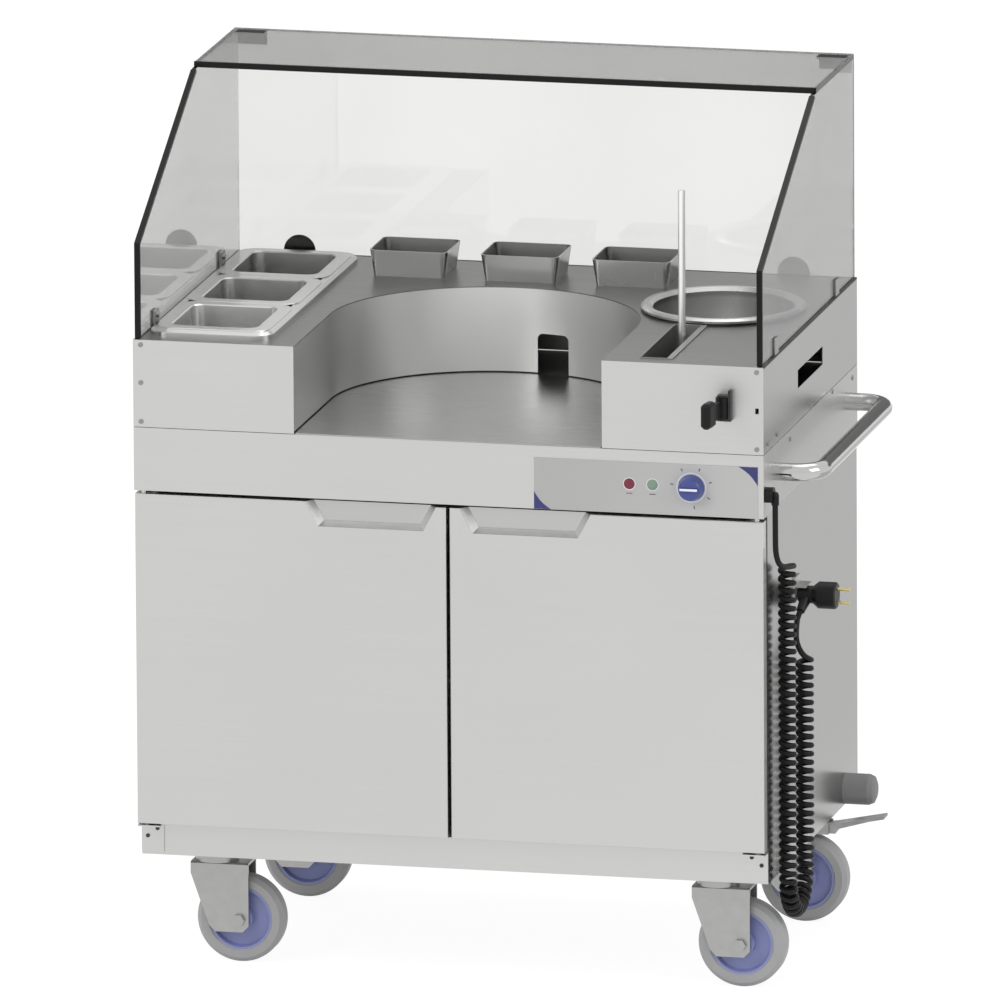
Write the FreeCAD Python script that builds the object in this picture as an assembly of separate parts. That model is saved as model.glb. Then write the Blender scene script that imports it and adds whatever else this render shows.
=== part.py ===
import FreeCAD, Part
import math
import os

# Heated carving trolley, in millimetres. X runs from left to right seen from the doors, Y from the doors to the
# rear wall, Z up from the floor. The pieces are drawn from the front left corner of the housing, and moved at the
# end so that the origin lies on the floor under the middle of the whole trolley.

Vec = FreeCAD.Vector
X_AXIS = Vec(1, 0, 0)
Y_AXIS = Vec(0, 1, 0)
Z_AXIS = Vec(0, 0, 1)

# ---- overall ------------------------------------------------------------------------------------------------------
WIDTH = 900.0
DEPTH = 600.0
PLINTH_HEIGHT = 45.0
CARCASS_HEIGHT = 527.0
APRON_HEIGHT = 90.0
HOUSING_SEAM = 0.8
HOUSING_HEIGHT = 125.0
KNEE_HEIGHT = 136.0
HOOD_HEIGHT = 321.0
SHEET = 1.5
TOUCH_GAP = 0.3

# ---- carcass ------------------------------------------------------------------------------------------------------
CARCASS_INSET = 1.0
DOOR_BACK_GAP = 5.0
WALL = 25.0
BACK_WALL = 20.0
CASTOR_RAIL_WIDTH = 120.0
CASTOR_RAIL_HOLE = 13.0
SHELF_LEVEL = 235.0
SHELF_LIP = 20.0
SHELF_SETBACK = 25.0

# ---- doors --------------------------------------------------------------------------------------------------------
DOOR_THICKNESS = 20.0
DOOR_SKIN_RADIUS = 2.0
DOOR_MIDDLE_GAP = 5.0
DOOR_MIDDLE_SHIFT = 1.0
DOOR_FOOT_GAP = 4.0
DOOR_HEAD_GAP = 5.0
PIVOT_INSET = 11.0
PIVOT_RADIUS = 4.0
PIVOT_CLEARANCE = 0.08
PIVOT_DEPTH = 16.0
GRIP_TOP_WIDTH = 189.0
GRIP_FOOT_WIDTH = 152.0
GRIP_HEIGHT = 35.0
GRIP_DEPTH = 14.0
GRIP_SLOPE = 7.0
GRIP_TO_MEETING_EDGE = 108.0
HINGE_WIDTH = 32.0
HINGE_HEIGHT = 43.0
HINGE_SHEET = 2.0
HINGE_SCREW_RADIUS = 3.0
PIVOT_BOSS = 4.0

# ---- castors ------------------------------------------------------------------------------------------------------
CASTOR_INSET_X = 90.0
CASTOR_INSET_Y = 103.0
CASTOR_TRAIL = 36.0
PLATE_LENGTH = 105.0
PLATE_WIDTH = 85.0
PLATE_THICKNESS = 4.0
PLATE_BOLT_X = 80.0
PLATE_BOLT_Y = 60.0
PLATE_BOLT_RADIUS = 6.5
RACE_RADIUS = 30.0
RACE_HEIGHT = 17.0
KINGPIN_RADIUS = 6.0
BEARING_CLEARANCE = 0.06
WHEEL_RADIUS = 62.5
WHEEL_WIDTH = 32.0
RIM_RADIUS = 44.5
HUB_RADIUS = 18.0
HUB_WIDTH = 36.0
RIM_WIDTH = 28.0
WEB_WIDTH = 10.0
AXLE_RADIUS = 6.0
WHEEL_TO_CROWN = 15.5
TYRE_SHOULDER = 6.0
FORK_SHEET = 3.5
FORK_SIDE_GAP = 2.5
FORK_BACK = 33.0
FORK_FRONT = 50.0
FORK_TOE_BACK = 7.0
FORK_SHIN = 55.0
FORK_TOE_DROP = 18.0
FORK_TOE_RADIUS = 9.0
NUT_RADIUS = 9.0
NUT_HEIGHT = 6.0
PEDAL_PIVOT_X = 66.0
PEDAL_PIVOT_DROP = 31.0
PEDAL_PIN_RADIUS = 3.0
PEDAL_WIDTH = 26.0
PEDAL_LENGTH = 86.0
PEDAL_RISE = 19.0
PEDAL_SHEET = 4.0
PEDAL_BLOCK = 16.0

# ---- push handle, bumpers, gland -----------------------------------------------------------------------------------
HANDLE_RADIUS = 12.5
HANDLE_REACH = 61.0
HANDLE_BEND = 35.0
HANDLE_INSET = 73.0
HANDLE_LEVEL = 579.0
BUMPER_RADIUS = 22.0
BUMPER_LENGTH = 45.0
BUMPER_TO_REAR = 80.0
BUMPER_LEVEL = 22.0
BUMPER_ROUNDING = 10.0

# ---- recess and housing --------------------------------------------------------------------------------------------
LEFT_BOX = 230.0
RECESS_RADIUS = 220.0
RECESS_STRAIGHT = 220.0
PLATE_SEAM = 2.0
RECESS_PLATE = 2.0
CUTOUT_SHIFT = 50.0
CUTOUT_WIDTH = 47.0
CUTOUT_HEIGHT = 60.0
CUTOUT_RADIUS = 8.0
WINDOW_FRONT = 219.0
WINDOW_REAR = 377.0
WINDOW_LEVEL = 665.0
WINDOW_HEIGHT = 26.0
LUG_RADIUS = 23.0
LUG_RISE = 3.0
LUG_INSET = 95.0
SCREW_RADIUS = 3.5
SCREW_HEAD = 1.2

# ---- pans, dishes, pot, trough -------------------------------------------------------------------------------------
FRAME_LEFT = 14.0
FRAME_FRONT = 28.0
FRAME_RISE = 10.0
FRAME_BAND = 13.0
FRAME_CHAMFER = 4.0
FRAME_CORNER = 26.0
PAN_LENGTH = 162.0
PAN_WIDTH = 176.0
PAN_GAP = 1.0
PAN_MARGIN = 7.0
PAN_COUNT = 3
PAN_DEPTH = 100.0
PAN_RIM = 19.0
PAN_TAPER = 9.0
PAN_CORNER = 26.0
PAN_BODY_CORNER = 16.0
PAN_EDGE = 0.8
PAN_MOUTH = 3.0
PAN_WALL = 1.2
DISH_LENGTH = 113.0
DISH_WIDTH = 93.0
DISH_HEIGHT = 38.0
DISH_TAPER = 6.0
DISH_WALL = 2.0
DISH_CORNER = 10.0
DISH_FIRST_SHIFT = 167.0
DISH_PITCH = 160.5
DISH_BEHIND_RECESS = 72.0
POT_TO_RIGHT = 140.0
POT_Y = 361.0
POT_RIM_WIDTH = 15.5
POT_RADIUS = 98.5
POT_DEPTH = 100.0
POT_WALL = 1.5
POT_RIM_RISE = 9.0
POT_HOLE_GAP = 2.0
TROUGH_BESIDE_RECESS = 48.0
TROUGH_WIDTH = 40.5
TROUGH_FRONT = 27.0
TROUGH_REAR = 245.0
TROUGH_DEPTH = 95.0
TROUGH_LIP = 7.0
TROUGH_REAR_LIP = 1.5
ROD_IN_TROUGH = 28.5
ROD_Y = 168.0
ROD_RADIUS = 5.0
ROD_HEIGHT = 210.0
ROD_FOOT_RADIUS = 9.0
ROD_FOOT = 8.0

# ---- glass hood ----------------------------------------------------------------------------------------------------
GLASS = 6.0
GLASS_INSET = 3.0
GLASS_FRONT = 5.0
ROOF_TO_REAR = 243.0
JOINT_GAP = 0.3
TRIM_WALL = 1.0
TRIM_GRIP = 3.5
CLAMP_Y = (90.0, 478.0)
CLAMP_LENGTH = 22.0
CLAMP_HEIGHT = 24.0
CLAMP_JAW = 4.0
CLAMP_BACK = 2.0
ANGLE_WIDTH = 42.0
ANGLE_LEG = 20.0
ANGLE_SHEET = 2.5

# ---- controls ------------------------------------------------------------------------------------------------------
PANEL_TO_RIGHT = 8.0
PANEL_WIDTH = 319.0
PANEL_HEIGHT = 73.0
PANEL_LEVEL = 527.5
PANEL_SHEET = 1.0
LAMP_IN_PANEL = (136.0, 169.0)
LAMP_LEVEL = 569.0
LAMP_RADIUS = 7.7
LAMP_NECK_RADIUS = 6.0
LAMP_HOLE_GAP = 0.15
LAMP_RISE = 3.0
LAMP_BODY = 22.0
KNOB_IN_PANEL = 224.5
KNOB_LEVEL = 567.4
KNOB_RADIUS = 18.6
KNOB_HEIGHT = 16.0
KNOB_GAP = 1.0
KNOB_POINTER = 5.0
SHAFT_RADIUS = 3.0
SHAFT_LENGTH = 30.0
SHAFT_CLEARANCE = 0.08
LEVER_TO_RIGHT = 56.5
LEVER_LEVEL = 685.0
LEVER_HEIGHT = 36.0
LEVER_LENGTH = 66.0
LEVER_THICKNESS = 15.0
LEVER_PIN_OUT = 10.0
LEVER_PIN_RADIUS = 3.0
LEVER_TILT = 9.0
LEVER_DRUM_RADIUS = 9.0
LEVER_DRUM_HEIGHT = 30.0
LEVER_LOBE = 30.0
LEVER_WAIST = 7.0
LEVER_WAIST_HEIGHT = 24.0
LEVER_NOSE = 7.0
LEVER_EDGE = 4.0
BRACKET_SHEET = 4.0
BRACKET_DEPTH = 14.0
BRACKET_RISE = 10.0
HEATER_RADIUS = 4.0
HEATER_DROP = 12.0
HEATER_BEND = 40.0
HEATER_LEGS = 4
HEATER_LENGTH = 300.0
HEATER_FRONT = 110.0

# ---- curly cord and plug -------------------------------------------------------------------------------------------
CORD_RADIUS = 4.1
CORD_SIDES = 4
CURL_RADIUS = 9.4
CURL_PITCH = 12.2
COIL_X = 917.0
COIL_FRONT_Y = 71.0
COIL_REAR_Y = 180.0
COIL_TURN_LEVEL = -1.0
COIL_FRONT_TOP = 446.0
COIL_REAR_TOP = 287.0
GLAND_Y = 13.0
GLAND_LEVEL = 559.0
GLAND_RADIUS = 11.0
GLAND_LENGTH = 11.7
GLAND_NECK = 1.8
GLAND_SLEEVE = 5.4
GLAND_DROP = 14.0
PLUG_Y = 207.0
PLUG_LEVEL = 374.0
PLUG_TO_WALL = 3.0
PLUG_NECK_RADIUS = 12.5
PLUG_NECK = 29.0
PLUG_BODY_RADIUS = 19.0
PLUG_BODY = 26.0
PLUG_FLARE = 8.0
PLUG_PIN_RADIUS = 2.4
PLUG_PIN_SPACING = 19.0
PLUG_PIN = 18.0
RELIEF_RADIUS = 6.0
RELIEF_LENGTH = 30.0
RELIEF_TO_WALL = 16.0
HOLDER_WIDTH = 34.0
HOLDER_SHEET = 2.5
HOLDER_DEPTH = 15.0
HOLDER_GAP = 0.3

# ---- what follows from these sizes ---------------------------------------------------------------------------------
CASTOR_HEIGHT = 2 * WHEEL_RADIUS + WHEEL_TO_CROWN + FORK_SHEET + RACE_HEIGHT + PLATE_THICKNESS
Z_BASE = CASTOR_HEIGHT
Z_PLINTH = Z_BASE + PLINTH_HEIGHT
Z_CARCASS = Z_BASE + CARCASS_HEIGHT
Z_TABLE = Z_CARCASS + APRON_HEIGHT
Z_HOUSING = Z_TABLE + HOUSING_SEAM
Z_DECK = Z_TABLE + HOUSING_HEIGHT
Z_KNEE = Z_DECK + KNEE_HEIGHT
Z_HOOD = Z_DECK + HOOD_HEIGHT

CARCASS_FRONT = DOOR_THICKNESS + DOOR_BACK_GAP
HANDLE_FRONT = HANDLE_INSET
HANDLE_REAR = DEPTH - HANDLE_INSET
BUMPER_Y = DEPTH - BUMPER_TO_REAR
FRAME_RIGHT = FRAME_LEFT + PAN_LENGTH + 2 * PAN_MARGIN
PAN_PITCH = PAN_WIDTH + PAN_GAP
DOOR_MIDDLE = WIDTH / 2 - DOOR_MIDDLE_SHIFT
RECESS_X = LEFT_BOX + RECESS_RADIUS
CUTOUT_X = RECESS_X + CUTOUT_SHIFT
DISH_FIRST_X = RECESS_X - DISH_FIRST_SHIFT
DISH_Y = RECESS_STRAIGHT + RECESS_RADIUS + DISH_BEHIND_RECESS
POT_X = WIDTH - POT_TO_RIGHT
TROUGH_LEFT = RECESS_X + RECESS_RADIUS + TROUGH_BESIDE_RECESS
TROUGH_RIGHT = TROUGH_LEFT + TROUGH_WIDTH
ROD_X = TROUGH_LEFT + ROD_IN_TROUGH
ROOF_FRONT = DEPTH - ROOF_TO_REAR
PANEL_LEFT = WIDTH - PANEL_TO_RIGHT - PANEL_WIDTH
LAMP_X = tuple(PANEL_LEFT + x for x in LAMP_IN_PANEL)
KNOB_X = PANEL_LEFT + KNOB_IN_PANEL
LEVER_X = WIDTH - LEVER_TO_RIGHT
POT_RIM_RADIUS = POT_RADIUS + POT_RIM_WIDTH
PLUG_NECK_START = WIDTH + PLUG_TO_WALL
RELIEF_X = WIDTH + RELIEF_TO_WALL


# ---- shapes that several pieces use --------------------------------------------------------------------------------
def block(x0, x1, y0, y1, z0, z1):
    return Part.makeBox(x1 - x0, y1 - y0, z1 - z0, Vec(x0, y0, z0))


def hollow_block(x0, x1, y0, y1, z0, z1):
    """Closed box of sheet."""
    inner = block(x0 + SHEET, x1 - SHEET, y0 + SHEET, y1 - SHEET, z0 + SHEET, z1 - SHEET)
    return block(x0, x1, y0, y1, z0, z1).cut(inner)


def cylinder(start, direction, radius, length):
    return Part.makeCylinder(radius, length, start, direction)


def polygon(points):
    return Part.makePolygon(points + points[:1])


def prism(points, direction):
    return Part.Face(polygon(points)).extrude(direction)


def line(start, end):
    return Part.LineSegment(start, end).toShape()


def rounded_rectangle(x0, x1, y0, y1, z, radius):
    """Closed wire in a level plane, with round corners."""
    corners = ((x1 - radius, y1 - radius), (x0 + radius, y1 - radius),
               (x0 + radius, y0 + radius), (x1 - radius, y0 + radius))
    arcs = []
    for quarter, (x, y) in enumerate(corners):
        points = []
        for part in range(3):
            angle = math.radians(90.0 * quarter + 45.0 * part)
            points.append(Vec(x + radius * math.cos(angle), y + radius * math.sin(angle), z))
        arcs.append(points)
    edges = []
    for index, points in enumerate(arcs):
        edges.append(Part.Arc(*points).toShape())
        edges.append(line(points[2], arcs[(index + 1) % len(arcs)][0]))
    return Part.Wire(edges)


def rounded_block(x0, x1, y0, y1, z0, z1, radius):
    wire = rounded_rectangle(x0, x1, y0, y1, z0, radius)
    return Part.Face(wire).extrude(Vec(0, 0, z1 - z0))


def tapered(sections):
    """Solid through level rounded rectangles, each (x0, x1, y0, y1, z, radius)."""
    return Part.makeLoft([rounded_rectangle(*section) for section in sections], True, True)


def inset(section, amount, level):
    """The same rounded rectangle, smaller by an amount all round, at another level."""
    x0, x1, y0, y1, _, radius = section
    return (x0 + amount, x1 - amount, y0 + amount, y1 - amount, level, max(radius - amount, 1.0))


def turned(profile, centre, axis, across):
    """Solid turned about an axis from (radius, distance along the axis) points."""
    points = [centre + across * radius + axis * along for radius, along in profile]
    return Part.Face(polygon(points)).revolve(centre, axis, 360)


def group(shapes):
    return Part.makeCompound(shapes)


def mirror_x(shape, middle):
    return shape.mirror(Vec(middle, 0, 0), X_AXIS)


def recess_solid(grow, front, z0, z1):
    """D-shaped solid of the recess, larger all round by an amount, open to the front."""
    radius = RECESS_RADIUS + grow
    left = RECESS_X - radius
    right = RECESS_X + radius
    shoulder_left = Vec(left, RECESS_STRAIGHT, z0)
    shoulder_right = Vec(right, RECESS_STRAIGHT, z0)
    apex = Vec(RECESS_X, RECESS_STRAIGHT + radius, z0)
    front_left = Vec(left, front, z0)
    front_right = Vec(right, front, z0)
    wire = Part.Wire([
        line(front_left, shoulder_left),
        Part.Arc(shoulder_left, apex, shoulder_right).toShape(),
        line(shoulder_right, front_right),
        line(front_right, front_left),
    ])
    return Part.Face(wire).extrude(Vec(0, 0, z1 - z0))


# ---- carcass -------------------------------------------------------------------------------------------------------
def base_tray():
    left = CARCASS_INSET
    right = WIDTH - CARCASS_INSET
    inner_left = left + WALL
    inner_right = right - WALL
    rear = DEPTH - CARCASS_INSET
    floor = block(inner_left, inner_right, CARCASS_FRONT, rear, Z_PLINTH - SHEET, Z_PLINTH)
    plinth = block(left, right, CARCASS_FRONT, CARCASS_FRONT + SHEET, Z_BASE, Z_PLINTH)
    tail = block(inner_left, inner_right, rear - SHEET, rear, Z_BASE, Z_PLINTH)
    tray = floor.fuse([plinth, tail])
    for x in (CASTOR_INSET_X, WIDTH - CASTOR_INSET_X):
        x0 = max(x - CASTOR_RAIL_WIDTH / 2, inner_left)
        x1 = min(x + CASTOR_RAIL_WIDTH / 2, inner_right)
        rail = hollow_block(x0, x1, CARCASS_FRONT, rear, Z_BASE, Z_PLINTH)
        for y in (CASTOR_INSET_Y, DEPTH - CASTOR_INSET_Y):
            hole = cylinder(Vec(x, y, Z_BASE - SHEET), Z_AXIS, CASTOR_RAIL_HOLE, 3 * SHEET)
            rail = rail.cut(hole)
        tray = tray.fuse(rail)
    return tray.removeSplitter()


def side_panel_left():
    """Closed double-skinned wall."""
    x0 = CARCASS_INSET
    return hollow_block(x0, x0 + WALL, CARCASS_FRONT + SHEET, DEPTH - CARCASS_INSET, Z_BASE, Z_CARCASS)


def side_panel_right():
    return mirror_x(side_panel_left(), WIDTH / 2)


def back_panel():
    x0 = CARCASS_INSET + WALL
    rear = DEPTH - CARCASS_INSET
    return hollow_block(x0, WIDTH - x0, rear - BACK_WALL, rear, Z_PLINTH, Z_CARCASS)


def inner_shelf():
    x0 = CARCASS_INSET + WALL
    x1 = WIDTH - x0
    front = CARCASS_FRONT + SHELF_SETBACK
    rear = DEPTH - CARCASS_INSET - BACK_WALL
    top = Z_PLINTH + SHELF_LEVEL
    outer = block(x0, x1, front, rear, top - SHELF_LIP, top)
    inner = block(x0 + SHEET, x1 - SHEET, front + SHEET, rear - SHEET, top - SHELF_LIP, top - SHEET)
    return outer.cut(inner)


def pivot_x(side):
    """Where a door's pins stand; side is 0 on the left and 1 on the right."""
    inset_x = CARCASS_INSET + PIVOT_INSET
    return inset_x if side == 0 else WIDTH - inset_x


def hinge_brackets():
    pieces = []
    for side in (0, 1):
        corner = CARCASS_INSET
        sheet = HINGE_SHEET
        top = Z_PLINTH + 2.0
        leg = block(corner, corner + HINGE_WIDTH, CARCASS_FRONT - sheet, CARCASS_FRONT,
                    top - HINGE_HEIGHT, top)
        ledge = block(corner, corner + HINGE_WIDTH, 0.0, CARCASS_FRONT, top - sheet, top)
        lower = Vec(pivot_x(0), DOOR_THICKNESS / 2, top - sheet)
        pin = cylinder(lower, Z_AXIS, PIVOT_RADIUS, sheet + DOOR_FOOT_GAP - 2.0 + PIVOT_DEPTH - 1.0)
        bracket = leg.fuse([ledge, pin])
        for x, drop in ((9.0, 20.0), (23.0, 9.0)):
            head = screw_head(Vec(corner + x, CARCASS_FRONT - sheet, top - drop), -Y_AXIS,
                              HINGE_SCREW_RADIUS, SCREW_HEAD)
            bracket = bracket.fuse(head)
        upper = Vec(pivot_x(0), DOOR_THICKNESS / 2, Z_CARCASS - DOOR_HEAD_GAP - PIVOT_DEPTH + 1.0)
        top_pin = cylinder(upper, Z_AXIS, PIVOT_RADIUS, DOOR_HEAD_GAP + PIVOT_DEPTH - 1.0)
        both = group([bracket, top_pin])
        pieces.append(both if side == 0 else mirror_x(both, WIDTH / 2))
    return group([solid for piece in pieces for solid in piece.Solids])


# ---- doors ---------------------------------------------------------------------------------------------------------
def door(side):
    z0 = Z_PLINTH + DOOR_FOOT_GAP
    z1 = Z_CARCASS - DOOR_HEAD_GAP
    if side == 0:
        x0 = CARCASS_INSET
        x1 = DOOR_MIDDLE - DOOR_MIDDLE_GAP / 2
        grip_middle = x1 - GRIP_TO_MEETING_EDGE
    else:
        x0 = DOOR_MIDDLE + DOOR_MIDDLE_GAP / 2
        x1 = WIDTH - CARCASS_INSET
        grip_middle = x0 + GRIP_TO_MEETING_EDGE
    leaf = block(x0, x1, 0.0, DOOR_THICKNESS, z0, z1)
    front_edges = [edge for edge in leaf.Edges if edge.BoundBox.YMax < 0.1]
    leaf = leaf.makeChamfer(DOOR_SKIN_RADIUS / 2, front_edges)
    leaf = leaf.cut(finger_grip(grip_middle, z1, 0.0))
    inside = block(x0 + SHEET, x1 - SHEET, SHEET, DOOR_THICKNESS - SHEET, z0 + SHEET, z1 - SHEET)
    inside = inside.cut(finger_grip(grip_middle, z1, SHEET))
    boss = PIVOT_RADIUS + PIVOT_BOSS
    for level in (z0, z1 - PIVOT_DEPTH):
        bore = cylinder(Vec(pivot_x(side), DOOR_THICKNESS / 2, level), Z_AXIS,
                        PIVOT_RADIUS + PIVOT_CLEARANCE, PIVOT_DEPTH)
        leaf = leaf.cut(bore)
        inside = inside.cut(block(pivot_x(side) - boss, pivot_x(side) + boss, 0.0, DOOR_THICKNESS,
                                  level - PIVOT_BOSS, level + PIVOT_DEPTH + PIVOT_BOSS))
    return leaf.cut(inside)


def finger_grip(middle, top, wall):
    """Pocket that is wide and open at the top and narrows to a sloping foot, grown by a wall."""
    wires = []
    reach = GRIP_HEIGHT + 5.0
    grow = (GRIP_TOP_WIDTH - GRIP_FOOT_WIDTH) / 2 / GRIP_HEIGHT
    for y, shrink in ((-1.0, 0.0), (GRIP_DEPTH + wall, GRIP_SLOPE)):
        foot = GRIP_FOOT_WIDTH / 2 - shrink + wall
        head = foot + grow * reach
        z_foot = top - GRIP_HEIGHT + shrink - wall
        wires.append(polygon([
            Vec(middle - foot, y, z_foot),
            Vec(middle + foot, y, z_foot),
            Vec(middle + head, y, z_foot + reach),
            Vec(middle - head, y, z_foot + reach),
        ]))
    return Part.makeLoft(wires, True, True)


# ---- castors -------------------------------------------------------------------------------------------------------
def castor_centres():
    places = {}
    for depth_name, y in (("front", CASTOR_INSET_Y), ("rear", DEPTH - CASTOR_INSET_Y)):
        for side_name, x in (("left", CASTOR_INSET_X), ("right", WIDTH - CASTOR_INSET_X)):
            places[depth_name + "_" + side_name] = Vec(x, y, 0)
    return places


def castor_plates():
    pieces = []
    for centre in castor_centres().values():
        x, y = centre.x, centre.y
        z0 = Z_BASE - PLATE_THICKNESS
        plate = rounded_block(x - PLATE_LENGTH / 2, x + PLATE_LENGTH / 2, y - PLATE_WIDTH / 2,
                              y + PLATE_WIDTH / 2, z0, Z_BASE, 6.0)
        stem = cylinder(Vec(x, y, z0 - RACE_HEIGHT - FORK_SHEET - 5.0), Z_AXIS, KINGPIN_RADIUS,
                        RACE_HEIGHT + FORK_SHEET + 5.0)
        head = hexagon(Vec(x, y, z0 - RACE_HEIGHT - FORK_SHEET - 5.0), Z_AXIS, KINGPIN_RADIUS + 3.0, 4.5)
        plate = plate.fuse([stem, head])
        for dx in (-PLATE_BOLT_X / 2, PLATE_BOLT_X / 2):
            for dy in (-PLATE_BOLT_Y / 2, PLATE_BOLT_Y / 2):
                bolt = hexagon(Vec(x + dx, y + dy, z0 - 5.0), Z_AXIS, PLATE_BOLT_RADIUS, 5.0)
                plate = plate.fuse(bolt)
        pieces.append(plate)
    return group(pieces)


def many_sided(centre, axis, radius, length, sides):
    """Bar with flat sides; radius is to its corners."""
    across = X_AXIS if abs(axis.x) < 0.5 else Y_AXIS
    points = []
    for corner in range(sides):
        turn = FreeCAD.Rotation(axis, 360.0 / sides * corner)
        points.append(centre + turn.multVec(across * radius))
    return prism(points, axis * length)


def hexagon(centre, axis, radius, length):
    return many_sided(centre, axis, radius, length, 6)


def screw_head(centre, axis, radius, length):
    return many_sided(centre, axis, radius, length, 10)


def crown_level():
    return Z_BASE - PLATE_THICKNESS - RACE_HEIGHT


def fork(centre):
    """Pressed fork with a bearing race on top, and the axle bolt through both legs."""
    x, y = centre.x, centre.y
    crown_top = crown_level()
    half = WHEEL_WIDTH / 2 + FORK_SIDE_GAP + 2.0
    outer = half + FORK_SHEET
    toe = WHEEL_RADIUS - FORK_TOE_DROP
    outline = [
        Vec(x - FORK_BACK, y - outer, crown_top),
        Vec(x - FORK_BACK, y - outer, crown_top - FORK_SHIN * 0.3),
        Vec(x - FORK_TOE_BACK, y - outer, toe + FORK_TOE_RADIUS),
        Vec(x - FORK_TOE_BACK + FORK_TOE_RADIUS, y - outer, toe),
        Vec(x + FORK_FRONT - FORK_TOE_RADIUS, y - outer, toe),
        Vec(x + FORK_FRONT, y - outer, toe + FORK_TOE_RADIUS),
        Vec(x + FORK_FRONT, y - outer, crown_top),
    ]
    body = prism(outline, Vec(0, 2 * outer, 0))
    throat = block(x - FORK_BACK - 1, x + FORK_FRONT + 1, y - half, y + half, 0, crown_top - FORK_SHEET)
    body = body.cut(throat)
    fold_edges = []
    for edge in body.Edges:
        box = edge.BoundBox
        if box.ZMin > crown_top - 0.1 and box.XLength > 50 and box.YLength < 0.1:
            fold_edges.append(edge)
    body = body.makeChamfer(FORK_SHEET * 0.6, fold_edges)
    race_top = Z_BASE - PLATE_THICKNESS - TOUCH_GAP
    race = cylinder(Vec(x, y, crown_top), Z_AXIS, RACE_RADIUS, race_top - crown_top)
    bore = cylinder(Vec(x, y, crown_top - FORK_SHEET), Z_AXIS, KINGPIN_RADIUS + BEARING_CLEARANCE,
                    RACE_HEIGHT + FORK_SHEET)
    relief = cylinder(Vec(x, y, crown_top + 6.0), Z_AXIS, KINGPIN_RADIUS + 14.0, RACE_HEIGHT)
    body = body.fuse(race.cut(relief)).cut(bore)
    axle_x = x + CASTOR_TRAIL
    axle = cylinder(Vec(axle_x, y - outer, WHEEL_RADIUS), Y_AXIS, AXLE_RADIUS, 2 * outer)
    heads = [
        hexagon(Vec(axle_x, y - outer, WHEEL_RADIUS), -Y_AXIS, NUT_RADIUS, NUT_HEIGHT),
        hexagon(Vec(axle_x, y + outer, WHEEL_RADIUS), Y_AXIS, NUT_RADIUS, NUT_HEIGHT),
    ]
    return body.fuse([axle] + heads)


def wheel_hub(centre):
    half = HUB_WIDTH / 2
    rim = RIM_WIDTH / 2
    web = WEB_WIDTH / 2
    bore = AXLE_RADIUS + BEARING_CLEARANCE
    profile = [(bore, -half), (HUB_RADIUS, -half), (HUB_RADIUS, -web), (RIM_RADIUS - 5.0, -web),
               (RIM_RADIUS - 3.0, -rim), (RIM_RADIUS, -rim)]
    profile += [(radius, -along) for radius, along in reversed(profile)]
    axle = Vec(centre.x + CASTOR_TRAIL, centre.y, WHEEL_RADIUS)
    return turned(profile, axle, Y_AXIS, X_AXIS)


def wheel_tyre(centre):
    half = WHEEL_WIDTH / 2
    rim = RIM_WIDTH / 2
    profile = [(RIM_RADIUS, -rim), (RIM_RADIUS + 2.0, -half), (WHEEL_RADIUS - TYRE_SHOULDER, -half),
               (WHEEL_RADIUS, -half + TYRE_SHOULDER)]
    profile += [(radius, -along) for radius, along in reversed(profile)]
    axle = Vec(centre.x + CASTOR_TRAIL, centre.y, WHEEL_RADIUS)
    return turned(profile, axle, Y_AXIS, X_AXIS)


def pedal_pivot(centre):
    return Vec(centre.x + PEDAL_PIVOT_X, centre.y, Z_BASE - PEDAL_PIVOT_DROP)


def pedal_ears(centre):
    """Ears on a rear fork that carry the brake pedal's pin."""
    pivot = pedal_pivot(centre)
    half = PEDAL_WIDTH / 2 + TOUCH_GAP
    ears = []
    for y in (centre.y - half - FORK_SHEET, centre.y + half):
        ears.append(block(centre.x + FORK_FRONT - 10.0, pivot.x + 7.0, y, y + FORK_SHEET,
                          pivot.z - 6.0, crown_level()))
    start = Vec(pivot.x, centre.y - half - FORK_SHEET, pivot.z)
    pin = cylinder(start, Y_AXIS, PEDAL_PIN_RADIUS, 2 * (half + FORK_SHEET))
    return ears + [pin]


def brake_pedal(centre):
    pivot = pedal_pivot(centre)
    half = PEDAL_WIDTH / 2
    sheet = PEDAL_SHEET
    side = [
        Vec(pivot.x - 6.0, pivot.y - half, pivot.z - 5.0),
        Vec(pivot.x + PEDAL_BLOCK, pivot.y - half, pivot.z - 5.0),
        Vec(pivot.x + PEDAL_BLOCK + 4.0, pivot.y - half, pivot.z + 6.0 - sheet),
        Vec(pivot.x + PEDAL_LENGTH - 20.0, pivot.y - half, pivot.z + PEDAL_RISE - sheet),
        Vec(pivot.x + PEDAL_LENGTH, pivot.y - half, pivot.z + PEDAL_RISE),
        Vec(pivot.x + PEDAL_LENGTH, pivot.y - half, pivot.z + PEDAL_RISE + sheet),
        Vec(pivot.x + PEDAL_LENGTH - 20.0, pivot.y - half, pivot.z + PEDAL_RISE),
        Vec(pivot.x + PEDAL_BLOCK, pivot.y - half, pivot.z + 9.0),
        Vec(pivot.x - 6.0, pivot.y - half, pivot.z + 6.0),
    ]
    body = prism(side, Vec(0, PEDAL_WIDTH, 0))
    bore = cylinder(Vec(pivot.x, pivot.y - half, pivot.z), Y_AXIS, PEDAL_PIN_RADIUS + BEARING_CLEARANCE,
                    PEDAL_WIDTH)
    return body.cut(bore)


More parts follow.
